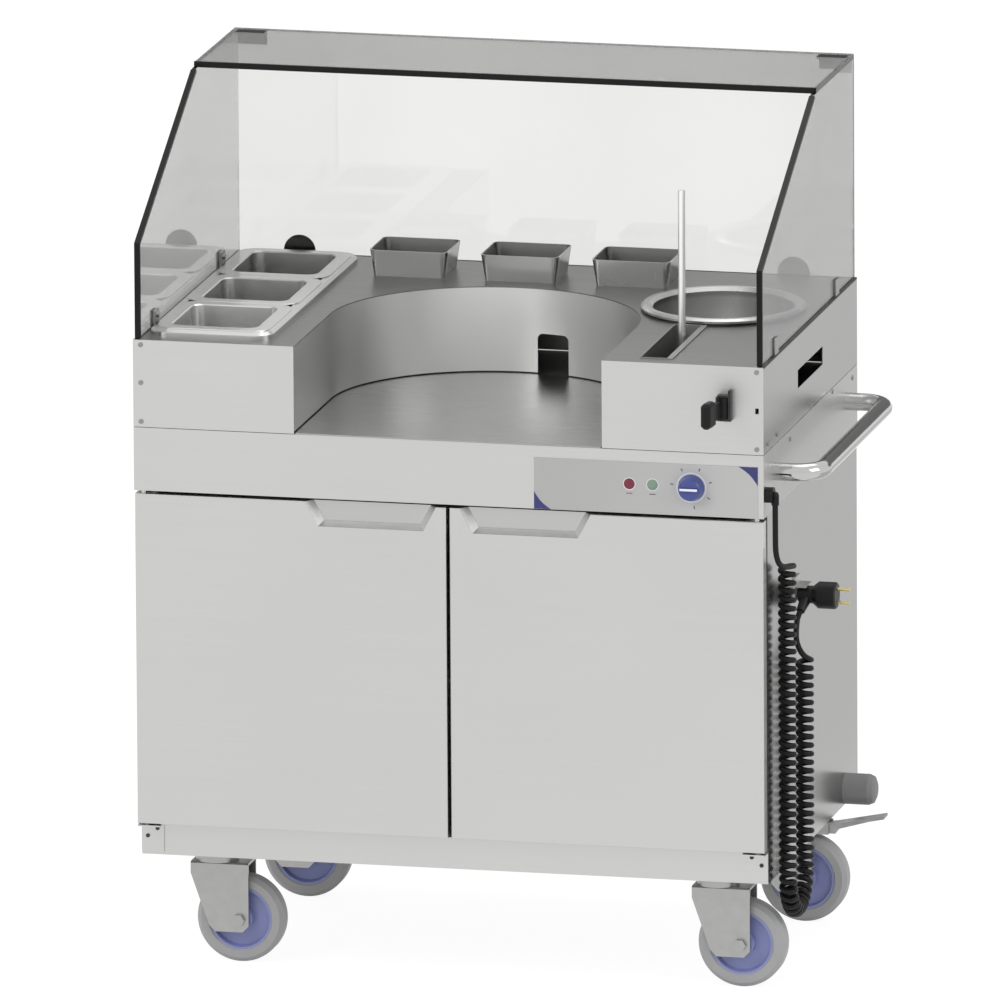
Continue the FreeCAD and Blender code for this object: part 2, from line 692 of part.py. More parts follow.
# ---- table top, housing and recess ---------------------------------------------------------------------------------
def table_top():
    """Closed box section: apron all round, the sheet under the housing, and the ceiling of the cabinet."""
    box = hollow_block(0, WIDTH, 0, DEPTH, Z_CARCASS, Z_TABLE)
    shaft = Vec(KNOB_X, -1.0, Z_BASE + KNOB_LEVEL)
    box = box.cut(cylinder(shaft, Y_AXIS, SHAFT_RADIUS + SHAFT_CLEARANCE, SHEET + 2.0))
    for x in LAMP_X:
        place = Vec(x, -1.0, Z_BASE + LAMP_LEVEL)
        box = box.cut(cylinder(place, Y_AXIS, LAMP_NECK_RADIUS + LAMP_HOLE_GAP, SHEET + 2.0))
    cable = Vec(WIDTH - SHEET - 1.0, GLAND_Y, Z_BASE + GLAND_LEVEL)
    return box.cut(cylinder(cable, X_AXIS, CORD_RADIUS, SHEET + 2.0))


def heating_element():
    """Serpentine tubular heater under the carving plate, hung below the table top's sheet."""
    level = Z_TABLE - SHEET - HEATER_DROP
    radius = HEATER_BEND / 2
    first = RECESS_X - (HEATER_LEGS - 1) * radius * 2 / 2
    edges = []
    for leg in range(HEATER_LEGS):
        x = first + leg * 2 * radius
        near = Vec(x, HEATER_FRONT, level)
        far = Vec(x, HEATER_FRONT + HEATER_LENGTH, level)
        edges.append(line(near, far) if leg % 2 == 0 else line(far, near))
        if leg < HEATER_LEGS - 1:
            turn = far if leg % 2 == 0 else near
            bulge = radius if leg % 2 == 0 else -radius
            edges.append(Part.Arc(turn, turn + Vec(radius, bulge, 0), turn + Vec(2 * radius, 0, 0)).toShape())
    spine = Part.Wire(edges)
    start = Vec(first, HEATER_FRONT, level)
    section = polygon([start + X_AXIS * (HEATER_RADIUS * math.cos(math.radians(60 * corner)))
                       + Z_AXIS * (HEATER_RADIUS * math.sin(math.radians(60 * corner))) for corner in range(6)])
    tube = spine.makePipeShell([section], True, False)
    clips = []
    for y in (HEATER_FRONT + 40.0, HEATER_FRONT + HEATER_LENGTH - 40.0):
        half = (HEATER_LEGS - 1) * radius + 12.0
        strap = block(RECESS_X - half, RECESS_X + half, y, y + 12.0, level + HEATER_RADIUS - 0.5,
                      level + HEATER_RADIUS + 1.0)
        clips.append(strap)
        for x in (RECESS_X - half, RECESS_X + half - 3.0):
            clips.append(block(x, x + 3.0, y, y + 12.0, level + HEATER_RADIUS, Z_TABLE - SHEET))
    return tube.fuse(clips)


def recess_plate():
    return recess_solid(-PLATE_SEAM, 1.0, Z_TABLE, Z_TABLE + RECESS_PLATE)


def recess_wall():
    bottom = Z_TABLE
    top = Z_DECK - SHEET
    wall = recess_solid(SHEET, SHEET, bottom, top).cut(recess_solid(0.0, -1.0, bottom - 1.0, top + 1.0))
    return wall.cut(wall_cutout())


def wall_cutout():
    half = CUTOUT_WIDTH / 2
    y0 = RECESS_STRAIGHT + RECESS_RADIUS * 0.8
    depth = RECESS_RADIUS * 0.2 + 20.0
    plain = block(CUTOUT_X - half, CUTOUT_X + half, y0, y0 + depth, Z_TABLE - 1.0, Z_TABLE + CUTOUT_HEIGHT)
    corners = []
    for edge in plain.Edges:
        box = edge.BoundBox
        if box.YLength > 10.0 and box.ZMin > Z_TABLE + 1.0:
            corners.append(edge)
    return plain.makeFillet(CUTOUT_RADIUS, corners)


def frame_outline(grow, z):
    """Outline of the pan frame's opening, grown or shrunk."""
    rear = FRAME_FRONT + 2 * PAN_MARGIN + PAN_COUNT * PAN_PITCH
    return (FRAME_LEFT + FRAME_BAND - grow, FRAME_RIGHT - FRAME_BAND + grow,
            FRAME_FRONT + FRAME_BAND - grow, rear - FRAME_BAND + grow, z, FRAME_CORNER - 6.0 + grow / 2)


def gn_frame():
    """Raised rounded rim round the three pans."""
    base = frame_outline(FRAME_BAND, Z_DECK)
    outer = tapered([base, (*base[:4], Z_DECK + FRAME_RISE - FRAME_CHAMFER, base[5]),
                     inset(base, FRAME_CHAMFER, Z_DECK + FRAME_RISE)])
    hole = rounded_block(*frame_outline(0.0, 0)[:4], Z_DECK - 1.0, Z_DECK + FRAME_RISE + 1.0,
                         FRAME_CORNER - 6.0)
    return outer.cut(hole)


def housing_deck():
    deck = block(SHEET, WIDTH - SHEET, SHEET, DEPTH - SHEET, Z_DECK - SHEET, Z_DECK)
    deck = deck.cut(recess_solid(0.0, -1.0, Z_DECK - 3.0, Z_DECK + 1.0))
    deck = deck.cut(rounded_block(*frame_outline(0.0, 0)[:4], Z_DECK - 3.0, Z_DECK + 1.0, FRAME_CORNER - 6.0))
    pot = cylinder(Vec(POT_X, POT_Y, Z_DECK - 3.0), Z_AXIS, POT_RADIUS + POT_HOLE_GAP, 4.0)
    trough = block(TROUGH_LEFT, TROUGH_RIGHT, TROUGH_FRONT, TROUGH_REAR, Z_DECK - 3.0, Z_DECK + 1.0)
    return deck.cut(pot).cut(trough)


def housing_fronts():
    """Front covers of the two boxes; the right one carries the lever's bracket and a small square hole."""
    covers = []
    for x0, x1 in ((0.0, RECESS_X - RECESS_RADIUS), (RECESS_X + RECESS_RADIUS, WIDTH)):
        covers.append(block(x0, x1, 0.0, SHEET, Z_HOUSING, Z_DECK))
    x = WIDTH - 9.0
    covers[1] = covers[1].cut(block(x - 2.5, x + 2.5, -1.0, SHEET + 1.0, Z_BASE + 676.0, Z_BASE + 684.0))
    covers[1] = covers[1].fuse(lever_bracket()).removeSplitter()
    return group(covers)


def lever_bracket():
    """Strip with two lugs that hold the lever's upright pin."""
    middle = Z_BASE + LEVER_LEVEL
    half = LEVER_DRUM_HEIGHT / 2 + TOUCH_GAP
    x0 = LEVER_X + LEVER_DRUM_RADIUS + TOUCH_GAP
    strip = block(x0, x0 + BRACKET_SHEET, -BRACKET_DEPTH, 0.0, middle - half - 3.0,
                  middle + half + BRACKET_RISE)
    lugs = []
    for z in (middle - half - 3.0, middle + half):
        lugs.append(block(LEVER_X - 6.0, x0, -BRACKET_DEPTH, 0.0, z, z + 3.0))
    pin = cylinder(Vec(LEVER_X, -LEVER_PIN_OUT, middle - half - 3.0), Z_AXIS, LEVER_PIN_RADIUS,
                   2 * half + 6.0)
    return strip.fuse(lugs + [pin])


def locking_lever():
    """Grip with a drum on the upright pin, a narrow waist and a rounded lobe in front."""
    middle = Z_BASE + LEVER_LEVEL
    half = LEVER_THICKNESS / 2
    z0 = middle - LEVER_HEIGHT / 2
    z1 = middle + LEVER_HEIGHT / 2
    pin = Vec(LEVER_X, -LEVER_PIN_OUT, middle - LEVER_DRUM_HEIGHT / 2)
    drum = cylinder(pin, Z_AXIS, LEVER_DRUM_RADIUS, LEVER_DRUM_HEIGHT)
    tip = -LEVER_PIN_OUT - LEVER_LENGTH
    plan = (LEVER_X - half, LEVER_X + half, tip, tip + LEVER_LOBE, z0 + LEVER_EDGE, LEVER_NOSE)
    lobe = tapered([inset(plan, LEVER_EDGE, z0), plan, inset(plan, 0.0, z1 - LEVER_EDGE),
                    inset(plan, LEVER_EDGE, z1)])
    waist = block(LEVER_X - LEVER_WAIST / 2, LEVER_X + LEVER_WAIST / 2, tip + LEVER_LOBE - LEVER_NOSE,
                  -LEVER_PIN_OUT, middle - LEVER_WAIST_HEIGHT / 2, middle + LEVER_WAIST_HEIGHT / 2)
    bore = cylinder(pin, Z_AXIS, LEVER_PIN_RADIUS + BEARING_CLEARANCE, LEVER_DRUM_HEIGHT)
    grip = drum.fuse([waist, lobe]).cut(bore)
    grip.rotate(Vec(LEVER_X, -LEVER_PIN_OUT, 0), Z_AXIS, -LEVER_TILT)
    return grip


def housing_side_left():
    return block(0.0, SHEET, SHEET, DEPTH, Z_HOUSING, Z_DECK)


def housing_side_right():
    wall = block(WIDTH - SHEET, WIDTH, SHEET, DEPTH, Z_HOUSING, Z_DECK)
    slot = block(WIDTH - SHEET - 1.0, WIDTH + 1.0, WINDOW_FRONT, WINDOW_REAR, Z_BASE + WINDOW_LEVEL,
                 Z_BASE + WINDOW_LEVEL + WINDOW_HEIGHT)
    return wall.cut(slot)


def lug_centres():
    return [Vec(x, DEPTH, Z_DECK + LUG_RISE) for x in (LUG_INSET, WIDTH - LUG_INSET)]


def housing_back():
    wall = block(SHEET, WIDTH - SHEET, DEPTH - SHEET, DEPTH, Z_HOUSING, Z_DECK)
    lugs = [cylinder(centre, -Y_AXIS, LUG_RADIUS, SHEET) for centre in lug_centres()]
    return wall.fuse(lugs).removeSplitter()


def housing_screws():
    heads = []
    for x in (11.0, WIDTH - 9.5):
        for level in (618.0 + 7.5, 681.0, 735.0):
            if x > WIDTH / 2 and level == 681.0:
                continue
            heads.append(screw_head(Vec(x, 0.0, Z_BASE + level), -Y_AXIS, SCREW_RADIUS, SCREW_HEAD))
    for y, level in ((28.0, 628.5), (85.5, 629.5), (168.0, 604.0), (440.0, 612.0), (568.0, 604.0)):
        heads.append(screw_head(Vec(WIDTH, y, Z_BASE + level), X_AXIS, SCREW_RADIUS, SCREW_HEAD))
        heads.append(screw_head(Vec(0.0, y, Z_BASE + level), -X_AXIS, SCREW_RADIUS, SCREW_HEAD))
    for centre in lug_centres():
        heads.append(screw_head(centre, Y_AXIS, SCREW_RADIUS + 1.5, SCREW_HEAD))
    return group(heads)


# ---- pans, dishes, pot, trough -------------------------------------------------------------------------------------
def gn_pan(index):
    """Tapered pan with round corners, hung by its rim on the frame."""
    y0 = FRAME_FRONT + PAN_MARGIN + PAN_GAP / 2 + index * PAN_PITCH
    x0 = FRAME_LEFT + PAN_MARGIN
    rim_level = Z_DECK + FRAME_RISE
    top = rim_level + SHEET
    rim = (x0, x0 + PAN_LENGTH, y0, y0 + PAN_WIDTH, rim_level, PAN_CORNER)
    body = (*inset(rim, PAN_RIM, rim_level)[:5], PAN_BODY_CORNER)
    foot = (*inset(body, PAN_TAPER * 0.8, top - PAN_DEPTH + 10.0)[:5], PAN_BODY_CORNER - 1.0)
    sole = (*inset(body, PAN_TAPER + 8.0, top - PAN_DEPTH)[:5], PAN_BODY_CORNER - 5.0)
    outside = tapered([sole, foot, body])
    flange = tapered([rim, inset(rim, 0.0, top - PAN_EDGE), inset(rim, PAN_EDGE, top)])
    hollow = tapered([
        inset(sole, PAN_WALL, sole[4] + PAN_WALL),
        inset(foot, PAN_WALL, foot[4]),
        inset(body, PAN_WALL, rim_level),
        inset(body, PAN_WALL - PAN_MOUTH, top + 1.0),
    ])
    return outside.fuse(flange).cut(hollow)


def dish(index):
    """Small tapered dish that stands on the deck behind the recess."""
    x = DISH_FIRST_X + index * DISH_PITCH
    top = (x - DISH_LENGTH / 2, x + DISH_LENGTH / 2, DISH_Y - DISH_WIDTH / 2, DISH_Y + DISH_WIDTH / 2,
           Z_DECK + DISH_HEIGHT, DISH_CORNER)
    foot = inset(top, DISH_TAPER, Z_DECK)
    outside = tapered([foot, top])
    hollow = tapered([inset(foot, DISH_WALL, Z_DECK + DISH_WALL),
                      inset(top, DISH_WALL, Z_DECK + DISH_HEIGHT + 0.5)])
    return outside.cut(hollow)


def sauce_pot():
    """Round pot with a rolled rim that lies on the deck."""
    rise = POT_RIM_RISE
    wall = POT_WALL
    profile = [
        (0.0, -POT_DEPTH), (POT_RADIUS - 16.0, -POT_DEPTH), (POT_RADIUS - 4.0, 8.0 - POT_DEPTH),
        (POT_RADIUS, 18.0 - POT_DEPTH), (POT_RADIUS, 0.0), (POT_RIM_RADIUS - 3.0, 0.0),
        (POT_RIM_RADIUS, 3.0), (POT_RIM_RADIUS, rise - 3.0), (POT_RIM_RADIUS - 4.0, rise),
        (POT_RADIUS + 5.0, rise), (POT_RADIUS - wall, rise - 5.0), (POT_RADIUS - wall, 18.0 - POT_DEPTH),
        (POT_RADIUS - 5.0, 9.0 - POT_DEPTH), (POT_RADIUS - 17.0, wall - POT_DEPTH),
        (0.0, wall - POT_DEPTH),
    ]
    return turned(profile, Vec(POT_X, POT_Y, Z_DECK), Z_AXIS, X_AXIS)


def knife_trough():
    """Deep narrow trough that hangs in its slot by a lip on the right and behind."""
    gap = TOUCH_GAP
    x0 = TROUGH_LEFT + gap
    x1 = TROUGH_RIGHT - gap
    y0 = TROUGH_FRONT + gap
    y1 = TROUGH_REAR - gap
    lip = block(x0, x1 + TROUGH_LIP, y0, y1 + TROUGH_REAR_LIP, Z_DECK, Z_DECK + SHEET)
    body = block(x0, x1, y0, y1, Z_DECK - TROUGH_DEPTH, Z_DECK + SHEET)
    hollow = block(x0 + SHEET, x1 - SHEET, y0 + SHEET, y1 - SHEET, Z_DECK - TROUGH_DEPTH + SHEET,
                   Z_DECK + SHEET + 1.0)
    return lip.fuse(body).cut(hollow)


def upright_rod():
    """Rod that stands on a foot in the trough."""
    floor = Z_DECK - TROUGH_DEPTH + SHEET
    foot = cylinder(Vec(ROD_X, ROD_Y, floor), Z_AXIS, ROD_FOOT_RADIUS, ROD_FOOT)
    shaft = cylinder(Vec(ROD_X, ROD_Y, floor), Z_AXIS, ROD_RADIUS, Z_DECK + ROD_HEIGHT - floor)
    return foot.fuse(shaft).removeSplitter()


# ---- glass hood ----------------------------------------------------------------------------------------------------
def glass_rear():
    return DEPTH - SHEET - TOUCH_GAP


def side_glass_outline(x):
    rear = glass_rear() - GLASS - JOINT_GAP
    top = Z_HOOD - GLASS - JOINT_GAP
    slope = (Z_HOOD - Z_KNEE) / (ROOF_FRONT - GLASS_FRONT)
    return [
        Vec(x, GLASS_FRONT, Z_DECK),
        Vec(x, rear, Z_DECK),
        Vec(x, rear, top),
        Vec(x, GLASS_FRONT + (top - Z_KNEE) / slope, top),
        Vec(x, GLASS_FRONT, Z_KNEE),
    ]


def side_glass_lefts():
    return (GLASS_INSET, WIDTH - GLASS_INSET - GLASS)


def side_glasses():
    return group([prism(side_glass_outline(x), Vec(GLASS, 0, 0)) for x in side_glass_lefts()])


def top_glass():
    return block(GLASS_INSET, WIDTH - GLASS_INSET, ROOF_FRONT, glass_rear(), Z_HOOD - GLASS, Z_HOOD)


def back_glass():
    rear = glass_rear()
    return block(GLASS_INSET, WIDTH - GLASS_INSET, rear - GLASS, rear, Z_DECK, Z_HOOD - GLASS - JOINT_GAP)


def trim_outline(foot, knee, head):
    """Bent band along the free glass edge from foot over knee to head, outside it and back inside it."""
    rise = (knee - foot).normalize()
    climb = (head - knee).normalize()
    outward = []
    for heading in (rise, climb):
        outward.append(heading.cross(X_AXIS).normalize() * -1.0)
    mitre = (outward[0] + outward[1]) * (1.0 / (1.0 + outward[0].dot(outward[1])))
    points = []
    for reach in (TRIM_WALL, -TRIM_GRIP):
        run = [foot + outward[0] * reach, knee + mitre * reach, head + outward[1] * reach]
        points += run if reach > 0 else run[::-1]
    return points


def edge_trim():
    """Protecting profile on the free edges: one bent strip on each side pane and the roof's front edge."""
    pieces = []
    glass = side_glasses()
    for x in side_glass_lefts():
        outline = side_glass_outline(x - TRIM_WALL)
        foot = outline[0] + Vec(0, 0, TRIM_WALL)
        knee = outline[4]
        head = outline[3]
        climb = (head - knee).normalize()
        band = prism(trim_outline(foot, knee, head - climb * TRIM_GRIP), Vec(GLASS + 2 * TRIM_WALL, 0, 0))
        pieces.append(band.cut(glass))
    roof = block(GLASS_INSET, WIDTH - GLASS_INSET, ROOF_FRONT - TRIM_WALL, ROOF_FRONT + TRIM_GRIP,
                 Z_HOOD - GLASS - TRIM_WALL, Z_HOOD + TRIM_WALL)
    pieces.append(roof.cut(top_glass()).cut(glass))
    return group([solid for piece in pieces for solid in piece.Solids])


def glass_fittings():
    """Four clamps of the side panes on the deck and two angles at the rear top corners."""
    pieces = []
    for y in CLAMP_Y:
        clamp = glass_clamp(y - CLAMP_LENGTH / 2)
        pieces += [clamp, mirror_x(clamp, WIDTH / 2)]
    angle = corner_angle()
    pieces += [angle, mirror_x(angle, WIDTH / 2)]
    return group([solid for piece in pieces for solid in piece.Solids])


def glass_clamp(y0):
    """Clamp with an outer and an inner jaw on the deck, and a screw head on the inner jaw."""
    gap = JOINT_GAP
    inner = GLASS_INSET + GLASS + gap
    outer = GLASS_INSET - gap
    y1 = y0 + CLAMP_LENGTH
    jaw = block(inner, inner + CLAMP_JAW, y0, y1, Z_DECK, Z_DECK + CLAMP_HEIGHT)
    screw = screw_head(Vec(inner + CLAMP_JAW, (y0 + y1) / 2, Z_DECK + CLAMP_HEIGHT * 0.7), X_AXIS, 4.0, 3.0)
    back = block(outer - CLAMP_BACK, outer, y0, y1, Z_DECK, Z_DECK + CLAMP_HEIGHT)
    return group([jaw.fuse(screw), back])


def corner_angle():
    face = glass_rear() - GLASS
    x0 = GLASS_INSET + GLASS + JOINT_GAP
    x1 = x0 + ANGLE_WIDTH
    under = Z_HOOD - GLASS
    upright = block(x0, x1, face - ANGLE_SHEET, face, under - ANGLE_LEG, under)
    level = block(x0, x1, face - ANGLE_LEG, face, under - ANGLE_SHEET, under)
    screws = []
    for x in (x0 + 8.0, x1 - 8.0):
        screws.append(screw_head(Vec(x, face - ANGLE_SHEET, under - ANGLE_LEG / 2 - 2.0), -Y_AXIS, 4.0, 2.0))
    return upright.fuse([level] + screws)


# ---- controls ------------------------------------------------------------------------------------------------------
def control_panel():
    z0 = Z_BASE + PANEL_LEVEL
    panel = block(PANEL_LEFT, PANEL_LEFT + PANEL_WIDTH, -PANEL_SHEET, 0.0, z0, z0 + PANEL_HEIGHT)
    shaft = Vec(KNOB_X, -PANEL_SHEET - 1.0, Z_BASE + KNOB_LEVEL)
    panel = panel.cut(cylinder(shaft, Y_AXIS, SHAFT_RADIUS + 1.0, PANEL_SHEET + 2.0))
    for x in LAMP_X:
        place = Vec(x, -PANEL_SHEET - 1.0, Z_BASE + LAMP_LEVEL)
        panel = panel.cut(cylinder(place, Y_AXIS, LAMP_NECK_RADIUS + LAMP_HOLE_GAP, PANEL_SHEET + 2.0))
    return panel


def lamp(x):
    """Signal lamp: domed lens on the panel and its neck behind."""
    neck = LAMP_NECK_RADIUS
    profile = [
        (0.0, PANEL_SHEET + LAMP_RISE), (LAMP_RADIUS * 0.6, PANEL_SHEET + LAMP_RISE * 0.8),
        (LAMP_RADIUS, PANEL_SHEET), (neck, PANEL_SHEET), (neck, -LAMP_BODY), (0.0, -LAMP_BODY),
    ]
    return turned(profile, Vec(x, 0.0, Z_BASE + LAMP_LEVEL), -Y_AXIS, X_AXIS)


def thermostat_knob():
    """Round knob with a raised pointer bar, on its shaft."""
    base = PANEL_SHEET + KNOB_GAP
    centre = Vec(KNOB_X, 0.0, Z_BASE + KNOB_LEVEL)
    profile = [
        (0.0, base), (KNOB_RADIUS, base), (KNOB_RADIUS - 1.0, base + 3.0),
        (KNOB_RADIUS - 3.0, base + KNOB_HEIGHT - 2.0), (KNOB_RADIUS - 5.0, base + KNOB_HEIGHT),
        (0.0, base + KNOB_HEIGHT),
    ]
    cap = turned(profile, centre, -Y_AXIS, X_AXIS)
    reach = KNOB_RADIUS - 6.0
    half = KNOB_POINTER / 2
    front = -base - KNOB_HEIGHT
    pointer = block(KNOB_X - reach, KNOB_X + reach, front - 3.0, front + 1.0, centre.z - half,
                    centre.z + half)
    shaft = cylinder(Vec(KNOB_X, SHAFT_LENGTH, centre.z), -Y_AXIS, SHAFT_RADIUS, SHAFT_LENGTH + base)
    return cap.fuse([pointer, shaft]).removeSplitter()


# ---- handle, bumpers -----------------------------------------------------------------------------------------------
def push_handle():
    """Bent round tube with both ends on the wall."""
    level = Z_BASE + HANDLE_LEVEL
    out = WIDTH + HANDLE_REACH
    bend = HANDLE_BEND
    corner = bend * (1.0 - math.sqrt(0.5))
    front, rear = HANDLE_FRONT, HANDLE_REAR
    edges = [
        line(Vec(WIDTH, front, level), Vec(out - bend, front, level)),
        Part.Arc(Vec(out - bend, front, level), Vec(out - corner, front + corner, level),
                 Vec(out, front + bend, level)).toShape(),
        line(Vec(out, front + bend, level), Vec(out, rear - bend, level)),
        Part.Arc(Vec(out, rear - bend, level), Vec(out - corner, rear - corner, level),
                 Vec(out - bend, rear, level)).toShape(),
        line(Vec(out - bend, rear, level), Vec(WIDTH, rear, level)),
    ]
    section = Part.Wire(Part.makeCircle(HANDLE_RADIUS, Vec(WIDTH, front, level), X_AXIS))
    tube = Part.Wire(edges).makePipeShell([section], True, False)
    return tube


def bumpers():
    profile = [
        (0.0, 0.0), (BUMPER_RADIUS, 0.0), (BUMPER_RADIUS, BUMPER_LENGTH - BUMPER_ROUNDING),
        (BUMPER_RADIUS - BUMPER_ROUNDING * 0.3, BUMPER_LENGTH - BUMPER_ROUNDING * 0.3),
        (BUMPER_RADIUS - BUMPER_ROUNDING, BUMPER_LENGTH), (0.0, BUMPER_LENGTH),
    ]
    start = Vec(WIDTH - CARCASS_INSET, BUMPER_Y, Z_BASE + BUMPER_LEVEL)
    right = turned(profile, start, X_AXIS, Y_AXIS)
    return group([right, mirror_x(right, WIDTH / 2)])


# ---- cord ----------------------------------------------------------------------------------------------------------
def cord_gland():
    """Gland on the apron with a short elbow that points down."""
    level = Z_BASE + GLAND_LEVEL
    radius = GLAND_SLEEVE
    body = cylinder(Vec(WIDTH, GLAND_Y, level), X_AXIS, GLAND_RADIUS, GLAND_LENGTH)
    neck = cylinder(Vec(WIDTH, GLAND_Y, level), X_AXIS, radius, GLAND_LENGTH + GLAND_NECK)
    profile = [(0.0, radius), (radius * 0.7, radius * 0.7), (radius, 0.0), (radius, -GLAND_DROP), (0.0, -GLAND_DROP)]
    elbow = Vec(WIDTH + GLAND_LENGTH + GLAND_NECK, GLAND_Y, level)
    return body.fuse([neck, turned(profile, elbow, Z_AXIS, X_AXIS)])


def gland_exit():
    return Vec(WIDTH + GLAND_LENGTH + GLAND_NECK, GLAND_Y, Z_BASE + GLAND_LEVEL - GLAND_DROP)


def relief_direction():
    return Vec(-0.2, -0.75, -0.65).normalize()


def plug_exit():
    return Vec(RELIEF_X, PLUG_Y, Z_BASE + PLUG_LEVEL) + relief_direction() * RELIEF_LENGTH


def plug():
    """Two-pin plug with a slanting strain relief, held with its pins away from the wall."""
    profile = [
        (0.0, 0.0), (PLUG_NECK_RADIUS - 2.0, 0.0), (PLUG_NECK_RADIUS, 2.0), (PLUG_NECK_RADIUS, PLUG_NECK - PLUG_FLARE),
        (PLUG_BODY_RADIUS, PLUG_NECK), (PLUG_BODY_RADIUS, PLUG_NECK + PLUG_BODY - 2.0),
        (PLUG_BODY_RADIUS - 2.0, PLUG_NECK + PLUG_BODY), (0.0, PLUG_NECK + PLUG_BODY),
    ]
    start = Vec(PLUG_NECK_START, PLUG_Y, Z_BASE + PLUG_LEVEL)
    body = turned(profile, start, X_AXIS, Z_AXIS)
    root = Vec(RELIEF_X, PLUG_Y, Z_BASE + PLUG_LEVEL)
    relief = Part.makeCone(RELIEF_RADIUS + 3.0, RELIEF_RADIUS, RELIEF_LENGTH, root, relief_direction())
    pieces = [relief]
    for dz in (-PLUG_PIN_SPACING / 2, PLUG_PIN_SPACING / 2):
        foot = start + Vec(PLUG_NECK + PLUG_BODY, 0, dz)
        pieces.append(cylinder(foot, X_AXIS, PLUG_PIN_RADIUS, PLUG_PIN))
    return body.fuse(pieces)


def plug_holder():
    """Bent strip on the side panel with a fork under the plug's neck."""
    wall = WIDTH - CARCASS_INSET
    level = Z_BASE + PLUG_LEVEL
    half = HOLDER_WIDTH / 2
    foot = block(wall, wall + HOLDER_SHEET, PLUG_Y - half, PLUG_Y + half, level - 8.0, level + 26.0)
    shelf = block(wall, PLUG_NECK_START + HOLDER_DEPTH, PLUG_Y - half, PLUG_Y + half,
                  level + PLUG_NECK_RADIUS + HOLDER_GAP, level + PLUG_NECK_RADIUS + HOLDER_GAP + HOLDER_SHEET)
    return foot.fuse(shelf).removeSplitter()


def biarc(start, leaving, end, arriving):
    """Two arcs that join smoothly: from start along leaving, to end along arriving."""
    span = end - start
    along = span.dot(leaving + arriving)
    bend = 2.0 * (1.0 - leaving.dot(arriving))
    if bend < 1e-9:
        reach = span.dot(span) / (2.0 * along)
    else:
        reach = (math.sqrt(along ** 2 + bend * span.dot(span)) - along) / bend
    first = start + leaving * reach
    second = end - arriving * reach
    middle = (first + second) * 0.5
    return [tangent_arc(start, first, middle), tangent_arc(middle, second, end)]


def tangent_arc(start, corner, end):
    """Arc from start to end whose end tangents meet at the corner."""
    chord_middle = (start + end) * 0.5
    half = (end - start).Length / 2
    rise = corner - chord_middle
    side = (corner - start).Length
    if rise.Length < 1e-4:
        return line(start, end)
    sagitta = half * (side - half) / rise.Length
    return Part.Arc(start, chord_middle + rise * (sagitta / rise.Length), end).toShape()


def coil_axis(distance):
    """Point, direction and inward normal of the coil's middle line, which hangs as a U."""
    front_run = COIL_FRONT_TOP - COIL_TURN_LEVEL
    radius = (COIL_REAR_Y - COIL_FRONT_Y) / 2
    turn = math.pi * radius
    level = Z_BASE + COIL_TURN_LEVEL
    middle = (COIL_REAR_Y + COIL_FRONT_Y) / 2
    if distance < front_run:
        place = Vec(COIL_X, COIL_FRONT_Y, level + front_run - distance)
        heading = Vec(0, 0, -1)
    elif distance < front_run + turn:
        angle = (distance - front_run) / radius
        place = Vec(COIL_X, middle - radius * math.cos(angle), level - radius * math.sin(angle))
        heading = Vec(0, math.sin(angle), -math.cos(angle))
    else:
        place = Vec(COIL_X, COIL_REAR_Y, level + distance - front_run - turn)
        heading = Vec(0, 0, 1)
    return place, heading, X_AXIS.cross(heading)


def coil_length():
    radius = (COIL_REAR_Y - COIL_FRONT_Y) / 2
    return COIL_FRONT_TOP - COIL_TURN_LEVEL + math.pi * radius + COIL_REAR_TOP - COIL_TURN_LEVEL


def curl_count():
    return round(coil_length() / CURL_PITCH)


def curl_point(turns):
    """Point of the wire's middle line after so many curls."""
    place, _, inward = coil_axis(turns / curl_count() * coil_length())
    angle = 2.0 * math.pi * turns
    return place + X_AXIS * (CURL_RADIUS * math.cos(angle)) + inward * (CURL_RADIUS * math.sin(angle))


def curl_direction(turns):
    step = 1e-4
    return (curl_point(turns + step) - curl_point(turns - step)).normalize()


def cord_knots():
    """Points and directions of the cord from the gland to the plug; the curls come from their formula."""
    down = Vec(0, 0, -1)
    start = gland_exit()
    knots = [
        (start, down),
        (start + down * 2 * CORD_RADIUS, down),
        (Vec(start.x, start.y + 1.0, Z_BASE + 474.0), Vec(0.01, 0.06, -1.0).normalize()),
        (Vec(start.x + 3.0, 27.0, Z_BASE + 455.0), Vec(0.15, 0.87, -0.48).normalize()),
        (Vec(start.x + 9.0, 48.0, Z_BASE + 449.0), Vec(0.22, 0.95, -0.2).normalize()),
    ]
    for half_turn in range(2 * curl_count() + 1):
        turns = half_turn / 2.0
        knots.append((curl_point(turns), curl_direction(turns)))
    up = relief_direction() * -1.0
    end = plug_exit()
    knots += [
        (Vec(909.0, 158.0, Z_BASE + 318.0), Vec(-0.05, 0.1, 1.0).normalize()),
        (end - up * 2 * CORD_RADIUS, up),
        (end, up),
    ]
    return knots


def cord_spine():
    edges = []
    knots = cord_knots()
    for (start, leaving), (end, arriving) in zip(knots, knots[1:]):
        if abs(leaving.dot(arriving)) > 0.999999 and abs((end - start).normalize().dot(leaving)) > 0.999999:
            edges.append(line(start, end))
        else:
            edges += biarc(start, leaving, end, arriving)
    return Part.Wire(edges)


